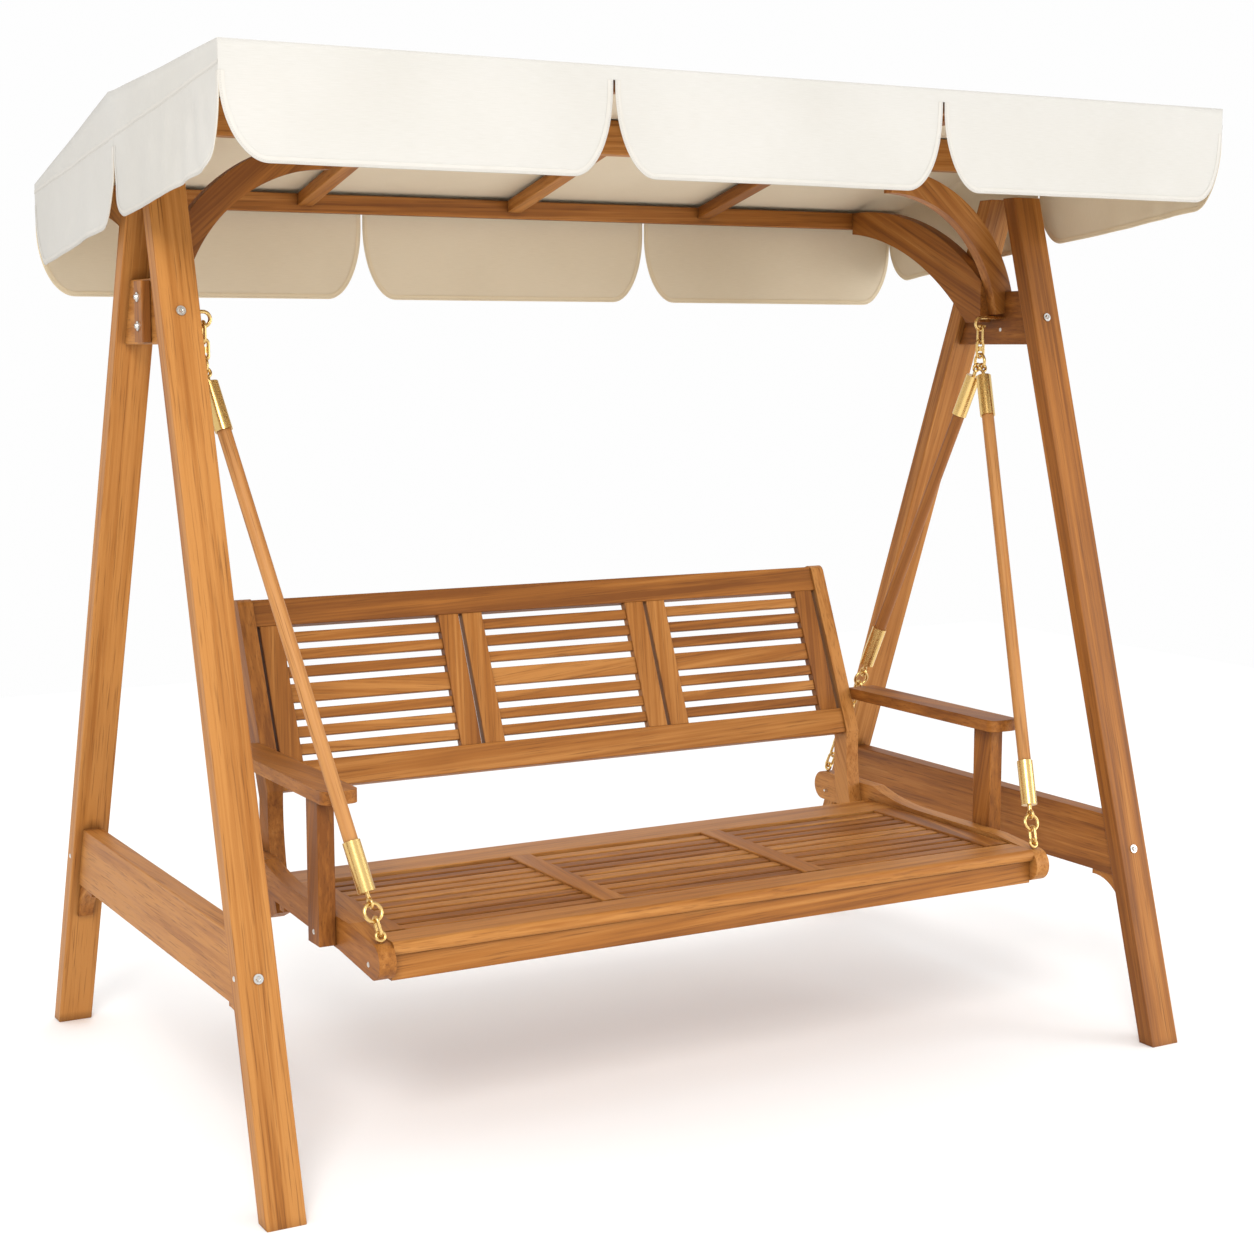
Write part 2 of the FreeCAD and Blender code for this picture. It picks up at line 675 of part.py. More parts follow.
def roof_panel(near, far):
    """A flat panel of the roof between two of its upper corners."""
    corners = [Vector(-half, back, high) for back, high in (near, far)]
    corners += [corner + Vector(0, 0, thick) for corner in reversed(corners)]
    return solid_face(chain_of(corners), Vector(2 * half, 0, 0))


def front_spot(across, down):
    return Vector(across, float(front_fold), front_high - down)


def rear_spot(across, down):
    return Vector(across, float(rear_fold) - thick, rear_high - down)


section = [(float(back), float(high)) for back, high in cloth_section()]
half = float(cloth_half)
thick = float(S.cloth_thick)
front_high = section[0][1] + thick
rear_high = section[3][1] + thick
pieces = [roof_panel(near, far) for near, far in zip(section, section[1:])]
pieces += valance(front_spot, -half, half, thick / 2, S.front_flaps, S.front_drop,
                  Vector(0, thick, 0))
pieces += valance(rear_spot, -half, half, thick / 2, S.front_flaps, S.rear_drop,
                  Vector(0, thick, 0))
side_start = float(front_fold) + thick
side_end = float(rear_fold) - thick
seam_front = front_high - float(S.seam_front)
seam_rear = rear_high - float(S.seam_rear)
for side in (-1, 1):
    face = -half if side < 0 else half - thick

    def side_spot(back, down, face=face):
        share = (back - float(front_fold)) / float(rear_fold - front_fold)
        return Vector(face, back, seam_front + (seam_rear - seam_front) * share - down)

    gable = [Vector(face, min(max(back, side_start), side_end), high + thick / 2)
             for back, high in section]
    gable += [side_spot(side_end, 0), side_spot(side_start, 0)]
    pieces.append(solid_face(chain_of(gable), Vector(thick, 0, 0)))
    pieces += valance(side_spot, side_start, side_end, 0, S.side_flaps, S.side_drop,
                      Vector(thick, 0, 0))
panels = []
for piece in pieces:
    panels += (piece.cut(panels) if panels else piece).Solids
canopy = doc.addObject("Part::Feature", "canopy_cloth")
canopy.Shape = Part.makeCompound(panels)
node(canopy, "canopy")

ties = []
fit = S.cloth_gap / 2
for side in (-1, 1):
    for back, top in ((S.front_rail_back, S.front_rail_top), (S.rear_rail_back, S.rear_rail_top)):
        left = side * (rail_half - S.tie_in) - S.tie_wide / 2
        near = back - S.rail_thick / 2 - fit - S.tie_thick
        low = top - S.rail_tall - fit - S.tie_thick
        across = S.rail_thick + 2 * (fit + S.tie_thick)
        shell = primitive("Box", at(left, near, low), Length=S.tie_wide, Width=across,
                          Height=S.rail_tall + fit + S.tie_thick)
        inside = primitive("Box", at(left, near + S.tie_thick, low + S.tie_thick),
                           Length=S.tie_wide, Width=across - 2 * S.tie_thick,
                           Height=S.rail_tall + fit)
        ties.append(cut(shell, inside))
group(ties, "canopy_ties")

# -------------------------------------------------------------- suspension
hook_x = cross_face - S.hook_in
bowl_high = S.hook_low + S.hook_radius
hooks = []
for side in (-1, 1):
    upright = Rotation(Vector(1, 0, 0), 90)
    start = 90 if side > 0 else 90 - float(S.hook_turn)
    bowl = primitive("Torus", at(side * hook_x, S.hook_back, bowl_high,
                                 upright * Rotation(Vector(0, 0, 1), start)),
                     Radius1=S.hook_radius, Radius2=S.hook_wire, Angle3=S.hook_turn)
    shank_long = S.hook_in + S.hook_shank
    shank = primitive("Cylinder", facing(side * hook_x, S.hook_back, bowl_high + S.hook_radius,
                                         (0, 1, 0), 90 * side), Radius=S.hook_wire, Height=shank_long)
    hooks.append(union([bowl, shank]))
group(hooks, "hooks")


def stadium(place, long_half, wide_half, wire):
    """A chain link in its own XZ plane, long axis along Z."""
    straight = long_half - wide_half
    crowns = [primitive("Torus", facing(0, 0, sign * float(straight), (1, 0, 0), sign * 90),
                        Radius1=wide_half, Radius2=wire, Angle3=180) for sign in (-1, 1)]
    sides = [primitive("Cylinder", at(sign * wide_half, 0, -straight), Radius=wire,
                       Height=2 * straight) for sign in (-1, 1)]
    return union(crowns + sides, place)


def hoop(place, radius, wire):
    """A round ring in its own XZ plane."""
    turned = Placement(place.Base, place.Rotation * Rotation(Vector(1, 0, 0), 90))
    return primitive("Torus", turned, Radius1=radius, Radius2=wire)


def step_between(first, second, first_wire, second_wire):
    """Centre distance of two linked rings, from their half lengths."""
    return float(first + second - first_wire - second_wire - S.link_slack)


def frame_on(start, end):
    """Rotation whose +Z runs from end up to start and whose X stays level across."""
    up = (start - end).normalize()
    back = up.cross(Vector(1, 0, 0)).normalize()
    across = back.cross(up)
    return Rotation(across, back, up, "ZXY")


quarter_turn = Rotation(Vector(0, 0, 1), 90)
across_ring = S.top_link_long - S.link_half
first_link = float(S.hook_low - across_ring)
second_link = first_link - step_between(S.top_link_long, S.top_link_long, S.link_wire, S.link_wire)
ring_high = second_link - step_between(S.top_link_long, S.ring_radius, S.link_wire, S.ring_wire)
for side, hand in ((-1, "left"), (1, "right")):
    x, y = float(side * hook_x), float(S.hook_back)
    chain = [stadium(Placement(Vector(x, y, first_link), quarter_turn), S.top_link_long,
                     S.link_half, S.link_wire),
             stadium(at(x, y, second_link), S.top_link_long, S.link_half, S.link_wire),
             hoop(Placement(Vector(x, y, ring_high), quarter_turn), S.ring_radius, S.ring_wire)]
    barrel = primitive("Cylinder", at(x, y, second_link - float(S.barrel_long) / 2),
                       Radius=S.barrel_radius, Height=S.barrel_long)
    chain[1] = union([chain[1], barrel])
    group(chain, "top_chain_" + hand)

upper_ferrules, lower_ferrules, front_chains, rear_chains, screw_eyes = [], [], [], [], []
eye_up = S.eye_radius + S.link_wire


def ferrule(place):
    """A brass socket with a stem and an eye; the eye's centre is the local origin."""
    stem_long = eye_up + S.stem_spare
    start = stem_long + S.ferrule_cap
    body = primitive("Cylinder", at(0, 0, -stem_long - S.ferrule_long), Radius=S.ferrule_radius,
                     Height=S.ferrule_long)
    socket = primitive("Cylinder", at(0, 0, -stem_long - S.ferrule_long),
                       Radius=S.rod_radius + S.rod_fit, Height=S.ferrule_long - S.ferrule_cap)
    stem = primitive("Cylinder", at(0, 0, -stem_long), Radius=S.stem_radius,
                     Height=stem_long - S.eye_radius)
    eye = hoop(at(0, 0, 0), S.eye_radius, S.link_wire)
    return union([cut(body, socket), stem, eye], place), start


def flipped(place):
    return Placement(place.Base, place.Rotation * Rotation(Vector(1, 0, 0), 180))


def hang(side, hand, front):
    """One rod from the upper ring to a nose of the seat, with its chain."""
    toward = -1 if front else 1
    lift = S.link_wire + S.ring_wire + S.link_slack - S.eye_radius
    ring_drop = math.sqrt(float(S.ring_radius * S.ring_radius - S.ring_spread * S.ring_spread))
    top = vec(side * hook_x, S.hook_back + toward * S.ring_spread, ring_high - ring_drop + lift)
    nose_back, nose_high = (S.nose_front, S.nose_low) if front else (S.nose_rear, S.nose_high)
    foot_point = vec(side * S.member_half, nose_back, nose_high + S.nose_radius + eye_up)
    turn = frame_on(top, foot_point)
    down = (foot_point - top).normalize()
    links = int(float(S.front_links if front else S.rear_links))
    eye_ring = step_between(S.eye_radius, S.ring_radius, S.link_wire, S.ring_wire)
    ring_link = step_between(S.ring_radius, S.link_long, S.ring_wire, S.link_wire)
    link_link = step_between(S.link_long, S.link_long, S.link_wire, S.link_wire)
    link_eye = step_between(S.link_long, S.eye_radius, S.link_wire, S.link_wire)
    chain_long = eye_ring + ring_link + (links - 1) * link_link + link_eye
    lower = foot_point - down * chain_long
    piece, start = ferrule(Placement(top, turn))
    upper_ferrules.append(piece)
    piece, start = ferrule(flipped(Placement(lower, turn * quarter_turn)))
    lower_ferrules.append(piece)
    start = float(start + S.rod_fit)
    rod_long = (lower - top).Length - 2 * start
    rod = primitive("Cylinder", Placement(lower - down * start, turn), Radius=S.rod_radius,
                    Height=rod_long)
    end = "front" if front else "rear"
    node(rod, "rod_%s_%s" % (end, hand))
    spot = lower + down * eye_ring
    chain = [hoop(Placement(spot, turn), S.ring_radius, S.ring_wire)]
    spot = spot + down * ring_link
    for number in range(links):
        twist = Rotation() if number % 2 else quarter_turn
        chain.append(stadium(Placement(spot, turn * twist), S.link_long, S.link_half, S.link_wire))
        spot = spot + down * link_link
    (front_chains if front else rear_chains).extend(chain)
    last_twist = quarter_turn if links % 2 == 0 else Rotation()
    eye = hoop(Placement(foot_point, turn * last_twist), S.eye_radius, S.link_wire)
    shank = primitive("Cylinder", at(foot_point.x, foot_point.y,
                                     foot_point.z - float(eye_up + S.eye_shank)),
                      Radius=S.link_wire, Height=S.eye_shank + S.link_wire)
    screw_eyes.append(union([eye, shank]))
    return top, down


rod_tops = {}
for side, hand in ((-1, "left"), (1, "right")):
    for front in (True, False):
        rod_tops[side, front] = hang(side, hand, front)
group(upper_ferrules, "upper_ferrules")
group(lower_ferrules, "lower_ferrules")
group(front_chains, "front_chains")
group(rear_chains, "rear_chains")
group(screw_eyes, "screw_eyes")

# -------------------------------------------------------------------- seat
member_in = S.member_half - S.member_thick / 2
member_out = S.member_half + S.member_thick / 2


def side_member():
    """Outline of a side member, a nose at each end and a raised rear."""
    r = S.nose_radius
    rear_top, rear_low = S.nose_high + r, S.nose_high - r
    front_top, front_low = S.nose_low + r, S.nose_low - r
    points = [(S.nose_rear, rear_top), (S.nose_rear + r, S.nose_high), (S.nose_rear, rear_low),
              (S.back_foot + S.member_heel, rear_low),
              (S.nose_front + S.member_toe, front_low + S.member_lift),
              (S.nose_front, front_low), (S.nose_front - r, S.nose_low), (S.nose_front, front_top),
              (S.nose_front + S.member_ramp, S.seat_top + S.member_proud),
              (S.back_foot - S.member_run, S.seat_top + S.member_proud),
              (S.back_foot + S.member_hip, rear_top)]
    return points, {0: -r, 1: -r, 5: -r, 6: -r, 9: S.member_curve}


for side, hand in ((-1, "left"), (1, "right")):
    points, arcs = side_member()
    node(plank("YZ_Plane", points, S.member_thick, side * S.member_half, arcs),
         "side_member_" + hand)

seat_low = S.seat_top - S.seat_thick
slats_front = S.seat_front + S.front_board_deep
rear_board_back = S.rear_board_front + S.rear_board_deep
node(block((-member_in, S.seat_front, seat_low), (member_in, slats_front, S.seat_top),
           S.seat_thick * S.front_board_bow), "seat_front_board")
node(block((-member_in, S.rear_board_front, seat_low), (member_in, rear_board_back, S.seat_top)),
     "seat_rear_board")
for label, near in (("seat_apron", S.seat_front + S.apron_back),
                    ("seat_rear_rail", rear_board_back - S.apron_thick - S.apron_back)):
    node(block((-member_in, near, seat_low - S.apron_tall),
               (member_in, near + S.apron_thick, seat_low)), label)

panel_count = 3
panel_wide = (2 * (member_in - S.end_rail_wide) - (panel_count - 1) * S.divider_wide) / panel_count


def panel_left(number):
    return S.end_rail_wide - member_in + number * (panel_wide + S.divider_wide)


def seat_rail(left, wide):
    return block((left, slats_front, seat_low), (left + wide, S.rear_board_front, S.seat_top))


group([seat_rail(-member_in, S.end_rail_wide),
       seat_rail(member_in - S.end_rail_wide, S.end_rail_wide)], "seat_end_rails")
group([seat_rail(panel_left(number) - S.divider_wide, S.divider_wide)
       for number in range(1, panel_count)], "seat_dividers")
slat_step = (S.rear_board_front - slats_front - S.slat_gap) / S.seat_slats
slat_top = S.seat_top - S.slat_sink
for number, place in enumerate(("left", "centre", "right")):
    slats = []
    for row in range(int(float(S.seat_slats))):
        near = slats_front + S.slat_gap + row * slat_step
        slats.append(block((panel_left(number), near, slat_top - S.slat_thick),
                           (panel_left(number) + panel_wide, near + slat_step - S.slat_gap, slat_top)))
    group(slats, "seat_slats_" + place)

# -------------------------------------------------------------------- back
lean = Placement(vec(0, S.back_foot, S.seat_top), Rotation(Vector(1, 0, 0), -float(S.back_lean)))


def leaned(piece):
    """Move a piece from the back's own frame to its leaning place."""
    piece.Placement = lean.multiply(piece.Placement)
    return piece


def back_block(low, high):
    board = block(low, high)
    return leaned(board)


def stile():
    """Outline of a back stile in the back's own frame: (depth, slope height)."""
    top, r = S.back_long, S.stile_round
    points = [(S.stile_kick, -S.stile_sink), (S.stile_kick + S.stile_deep, -S.stile_sink),
              (S.stile_deep, S.back_low), (S.stile_deep, top - r), (S.stile_deep - r, top),
              (r, top), (0, top - r), (0, S.back_low)]
    return points, {1: S.stile_bend, 3: r, 5: r, 7: -S.stile_bend}


stile_in = member_in - S.stile_thick
for side, hand in ((-1, "left"), (1, "right")):
    points, arcs = stile()
    body = plank("YZ_Plane", points, S.stile_thick, side * (member_in - S.stile_thick / 2), arcs)
    node(leaned(body), "back_stile_" + hand)

top_rail_under = S.back_long - S.top_rail_low - S.back_rail_wide
bottom_rail_high = S.back_low + S.back_rail_wide
for label, low in (("back_top_rail", top_rail_under), ("back_bottom_rail", S.back_low)):
    node(back_block((-stile_in, S.rail_inset, low),
                    (stile_in, S.rail_inset + S.back_thick, low + S.back_rail_wide)), label)

back_panel = (2 * stile_in - (panel_count + 1) * S.panel_gap) / panel_count
muntin_front = S.rail_inset + (S.back_thick - S.muntin_thick) / 2
slat_front = S.rail_inset + (S.back_thick - S.back_slat_thick) / 2
widths = [S.narrow_slat] * 3 + [S.wide_slat] + [S.narrow_slat] * 3
air = (top_rail_under - bottom_rail_high - sum(widths)) / (len(widths) + 1)
muntins = []
for number, place in enumerate(("left", "centre", "right")):
    left = S.panel_gap - stile_in + number * (back_panel + S.panel_gap)
    right = left + back_panel
    for near in (left, right - S.muntin_wide):
        muntins.append(back_block((near, muntin_front, bottom_rail_high),
                                  (near + S.muntin_wide, muntin_front + S.muntin_thick, top_rail_under)))
    slats, low = [], bottom_rail_high + air
    for wide in widths:
        slats.append(back_block((left + S.muntin_wide, slat_front, low),
                                (right - S.muntin_wide, slat_front + S.back_slat_thick, low + wide)))
        low = low + wide + air
    group(slats, "back_slats_" + place)
group(muntins, "back_muntins")

# -------------------------------------------------------------------- arms
arm_low_face = S.arm_top - S.arm_thick
post_low = S.nose_low - S.nose_radius + S.post_lift
for side, hand in ((-1, "left"), (1, "right")):
    top, down = rod_tops[side, True]
    fall = (top.z - float(S.arm_top)) / -down.z
    rod_back = top.y + down.y * fall + float(S.rod_radius) / math.cos(math.atan(down.y / down.z))
    arm_front = rod_back + S.arm_clear
    near, far = (member_in, member_in + S.armrest_wide) if side > 0 else \
        (-member_in - S.armrest_wide, -member_in)
    r = S.arm_round
    points = [(near, S.arm_back), (near, arm_front + r), (near + r, arm_front), (far - r, arm_front),
              (far, arm_front + r), (far, S.arm_back)]
    node(plank("XY_Plane", points, S.arm_thick, arm_low_face + S.arm_thick / 2, {1: r, 3: r}),
         "armrest_" + hand)
    near = member_out if side > 0 else -member_out - S.post_thick
    node(block((near, S.post_middle - S.post_wide / 2, post_low),
               (near + S.post_thick, S.post_middle + S.post_wide / 2, arm_low_face)),
         "arm_post_" + hand)

# --------------------------------------------------------------- fasteners
side_spots = [(behind_front_leg(stretcher_mid) - S.leg_deep / 2, stretcher_mid),
              (before_rear_leg(stretcher_mid) + S.leg_deep / 2, stretcher_mid)]
swing_spots = [(member_out, S.nose_front + S.screw_in, S.nose_low - S.screw_down),
               (member_out, S.nose_rear - S.screw_in, S.nose_high - S.screw_down),
               (member_out + S.post_thick, S.post_middle, S.nose_low + S.post_screw_up),
               (member_out, S.back_foot + S.stile_screw_back, S.seat_top - S.stile_screw_down)]
swing_screws = []
for side in (-1, 1):
    side_screws += [screw(facing(side * outer, back, high, (0, 1, 0), -90 * side),
                          S.cap_screw_long)
                    for back, high in side_spots]
    swing_screws += [screw(facing(side * across, back, high, (0, 1, 0), -90 * side), S.screw_long)
                     for across, back, high in swing_spots]
group(frame_bolts + cleat_bolts, "frame_bolts")
group(side_screws, "side_screws")
group(swing_screws, "swing_screws")

# ------------------------------------------------------------------ export
doc.recompute()
for thing in doc.Objects:
    if "Invalid" in thing.State or "Error" in thing.State:
        raise RuntimeError("%s (%s) did not build: %s" % (thing.Name, thing.Label, thing.State))
labels = [thing.Label for thing in nodes]
if len(set(labels)) != len(labels):
    raise RuntimeError("two pieces share a name")
bad = [thing.Label for thing in nodes
       if thing.Shape.isNull() or not thing.Shape.isValid() or thing.Shape.Volume <= 0]
if bad:
    raise RuntimeError("no valid shape: " + ", ".join(bad))
os.makedirs("parts", exist_ok=True)
for thing in nodes:
    thing.Shape.exportStep("parts/%s.step" % thing.Label)
print(len(nodes), "nodes written")
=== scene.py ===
import json
import math
import random

import bmesh
import bpy
import numpy as np
from mathutils import Euler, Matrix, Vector
from mathutils import noise as field


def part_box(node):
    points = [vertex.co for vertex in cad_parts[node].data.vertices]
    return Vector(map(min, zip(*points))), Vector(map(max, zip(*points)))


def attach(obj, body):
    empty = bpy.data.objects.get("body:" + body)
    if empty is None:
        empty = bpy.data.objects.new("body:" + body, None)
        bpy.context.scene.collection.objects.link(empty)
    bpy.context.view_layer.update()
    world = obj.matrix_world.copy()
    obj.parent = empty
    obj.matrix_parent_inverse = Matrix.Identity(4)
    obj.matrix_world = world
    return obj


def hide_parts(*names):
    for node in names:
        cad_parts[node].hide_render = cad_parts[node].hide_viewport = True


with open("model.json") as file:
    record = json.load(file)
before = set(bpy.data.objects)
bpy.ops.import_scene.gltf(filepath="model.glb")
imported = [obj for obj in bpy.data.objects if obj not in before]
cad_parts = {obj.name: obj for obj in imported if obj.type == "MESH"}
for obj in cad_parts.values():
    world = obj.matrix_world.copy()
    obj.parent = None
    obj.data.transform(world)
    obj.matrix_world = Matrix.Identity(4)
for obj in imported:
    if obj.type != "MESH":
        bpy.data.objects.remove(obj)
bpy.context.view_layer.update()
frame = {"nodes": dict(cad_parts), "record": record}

record = frame["record"]
slot_of = {row["node"]: row["material_slot"] for row in record["subparts"]}


# ------------------------------------------------------------- node helpers
def material(name):
    """An empty node material and its shader, ready to be wired."""
    made = bpy.data.materials.new(name)
    made.use_nodes = True
    nodes = made.node_tree.nodes
    nodes.clear()
    out = nodes.new("ShaderNodeOutputMaterial")
    shader = nodes.new("ShaderNodeBsdfPrincipled")
    made.node_tree.links.new(shader.outputs[0], out.inputs["Surface"])
    return made, shader, out


def add(mat, kind, sets=None, **wires):
    """A node with its settings; wires map an input name or number to a socket or a value."""
    node = mat.node_tree.nodes.new("ShaderNode" + kind)
    for key, value in (sets or {}).items():
        setattr(node, key, value)
    for key, value in wires.items():
        socket = node.inputs[int(key[1:])] if key[0] == "n" and key[1:].isdigit() else \
            node.inputs[key.replace("_", " ")]
        if isinstance(value, bpy.types.NodeSocket):
            mat.node_tree.links.new(value, socket)
        else:
            socket.default_value = value
    return node


def join(mat, source, target):
    mat.node_tree.links.new(source, target)


def maths(mat, operation, first, second=0.0, third=None):
    wires = {"n0": first, "n1": second}
    if third is not None:
        wires["n2"] = third
    return add(mat, "Math", {"operation": operation}, **wires).outputs[0]


def ramp(mat, factor, stops):
    """A colour ramp; stops are (position, (r, g, b))."""
    node = add(mat, "ValToRGB", Fac=factor)
    line = node.color_ramp
    while len(line.elements) < len(stops):
        line.elements.new(0.5)
    for element, (spot, colour) in zip(line.elements, stops):
        element.position = spot
        element.color = (*colour, 1.0)
    return node.outputs["Color"]


def levels(mat, factor, low, high):
    """A value from 0 to 1 spread over low to high."""
    node = add(mat, "MapRange", Value=factor, To_Min=low, To_Max=high)
    return node.outputs[0]


def mixed(mat, factor, first, second, blend="MIX"):
    node = mat.node_tree.nodes.new("ShaderNodeMix")
    node.data_type = "RGBA"
    node.blend_type = blend
    for number, value in ((0, factor), (6, first), (7, second)):
        if isinstance(value, bpy.types.NodeSocket):
            join(mat, value, node.inputs[number])
        else:
            node.inputs[number].default_value = value
    return node.outputs[2]


# --------------------------------------------------------------------- wood
MM = 0.001
PAINTED_SHADE_REACH = 22 * MM
EDGE_SOFT = 1.5 * MM


def wood(name, dark, middle, light, shine):
    """Oiled hardwood; its grain follows the grain attribute, which is laid along each board, and painted
    shade darkens its crevices.
    """
    mat, shader, _ = material(name)
    grain = add(mat, "Attribute", {"attribute_name": "grain"}).outputs["Vector"]
    tone = add(mat, "Attribute", {"attribute_name": "tone"}).outputs["Fac"]

    def streaks(along, across, detail, warp=0.0):
        place = add(mat, "Mapping", Vector=grain, Scale=(along, across, across)).outputs[0]
        return add(mat, "TexNoise", Vector=place, Scale=1.0, Detail=detail, Roughness=0.6,
                   Distortion=warp).outputs["Fac"]

    figure = streaks(0.9, 30.0, 3.0, 0.3)
    band = streaks(1.7, 130.0, 3.0, 0.1)
    pores = streaks(8.0, 340.0, 2.0)
    cloud = streaks(5.0, 7.0, 2.0)
    blend = maths(mat, "MULTIPLY_ADD", band, 0.42, maths(mat, "MULTIPLY", figure, 0.58))
    blend = maths(mat, "ADD", blend, maths(mat, "MULTIPLY", maths(mat, "SUBTRACT", cloud, 0.5), 0.10))
    blend = maths(mat, "ADD", blend, maths(mat, "MULTIPLY", tone, 0.12))
    colour = ramp(mat, blend, [(0.34, dark), (0.50, middle), (0.66, light)])
    pore_line = add(mat, "MapRange", Value=pores, From_Min=0.30, From_Max=0.44,
                    To_Min=1.0, To_Max=0.0).outputs[0]
    dim = tuple(value * 0.62 for value in dark) + (1.0,)
    colour = mixed(mat, maths(mat, "MULTIPLY", pore_line, 0.55), colour, dim)
    # Painted shade: the wood colour is pulled towards a deep brown wherever ambient occlusion finds tight
    # crevices, corners and gaps between parts.
    crevice_occlusion = add(mat, "AmbientOcclusion", {"samples": 4}, Distance=PAINTED_SHADE_REACH).outputs["AO"]
    painted_crevice_shade = maths(mat, "MULTIPLY", maths(mat, "SUBTRACT", 1.0, crevice_occlusion), 0.75)
    colour = mixed(mat, painted_crevice_shade, colour, tuple(value * 0.30 for value in dark) + (1.0,))
    join(mat, colour, shader.inputs["Base Color"])
    join(mat, levels(mat, band, shine - 0.06, shine + 0.14), shader.inputs["Roughness"])
    height = maths(mat, "MULTIPLY", maths(mat, "SUBTRACT", band, pore_line), 0.5)
    soft_edge = add(mat, "Bevel", {"samples": 4}, Radius=EDGE_SOFT).outputs[0]
    bump = add(mat, "Bump", Strength=0.35, Distance=0.0004, Height=height, Normal=soft_edge)
    join(mat, bump.outputs[0], shader.inputs["Normal"])
    shader.inputs["Specular IOR Level"].default_value = 0.22
    return mat


def boards(obj):
    """Vertex numbers of each separate board in a node, joined where corners coincide."""
    mesh = obj.data
    spots = np.array([v.co for v in mesh.vertices])
    _, same = np.unique(np.round(spots * 1e5).astype(np.int64), axis=0, return_inverse=True)
    same = same.ravel()
    parent = list(range(int(same.max()) + 1))

    def root(number):
        while parent[number] != number:
            parent[number] = parent[parent[number]]
            number = parent[number]
        return number

    for edge in mesh.edges:
        first, second = (root(int(same[v])) for v in edge.vertices)
        parent[first] = second
    roots = np.array([root(int(number)) for number in same])
    return spots, roots


def long_way(spots, edges):
    """Direction of a board's length: its longest straight edge, or its main axis if curved."""
    centred = spots - spots.mean(0)
    main = np.linalg.svd(centred, full_matrices=False)[2][0]
    if len(edges):
        longest = edges[np.argmax(np.linalg.norm(edges, axis=1))]
        longest = longest / np.linalg.norm(longest)
        if abs(longest @ main) > 0.94:
            main = longest
    return main * (1 if main.sum() > 0 else -1)


GRAIN_TURNS = 40.0
draw = random.Random(7)


def lay_grain(obj):
    """Store along, across and depth distances from each board's own centre, in metres."""
    mesh = obj.data
    spots, roots = boards(obj)
    grain = np.zeros_like(spots)
    tone = np.zeros(len(spots))
    pairs = np.array([edge.vertices[:] for edge in mesh.edges])
    for number in sorted(set(roots.tolist())):
        mine = roots == number
        own = pairs[mine[pairs[:, 0]]]
        along = long_way(spots[mine], spots[own[:, 1]] - spots[own[:, 0]])
        helper = np.array([1.0, 0, 0]) if abs(along[0]) < 0.7 else np.array([0, 0, 1.0])
        across = np.cross(along, helper)
        across /= np.linalg.norm(across)
        axes = np.array([along, across, np.cross(along, across)])
        shift = np.array([draw.uniform(0, GRAIN_TURNS) for _ in range(3)])
        grain[mine] = (spots[mine] - spots[mine].mean(0)) @ axes.T + shift
        tone[mine] = draw.uniform(-1, 1)
    for label, kind, values in (("grain", "FLOAT_VECTOR", grain), ("tone", "FLOAT", tone)):
        layer = mesh.attributes.new(label, kind, "POINT")
        key = "vector" if kind == "FLOAT_VECTOR" else "value"
        layer.data.foreach_set(key, values.astype(np.float32).ravel())


# -------------------------------------------------------------------- metal
def metal(name, colour, dull, rough, grain_size):
    """Polished or plated metal with faint handling marks."""
    mat, shader, _ = material(name)
    place = add(mat, "TexCoord").outputs["Object"]
    marks = add(mat, "TexNoise", Vector=place, Scale=grain_size, Detail=4.0).outputs["Fac"]
    haze = add(mat, "TexNoise", Vector=place, Scale=grain_size * 0.12, Detail=2.0).outputs["Fac"]
    shade = levels(mat, haze, 0.0, dull)
    join(mat, mixed(mat, shade, (*colour, 1), tuple(c * 0.62 for c in colour) + (1,)),
         shader.inputs["Base Color"])
    join(mat, levels(mat, marks, rough, rough + 0.16), shader.inputs["Roughness"])
    bump = add(mat, "Bump", Strength=0.12, Distance=0.0002, Height=marks)
    join(mat, bump.outputs[0], shader.inputs["Normal"])
    shader.inputs["Metallic"].default_value = 1.0
    return mat


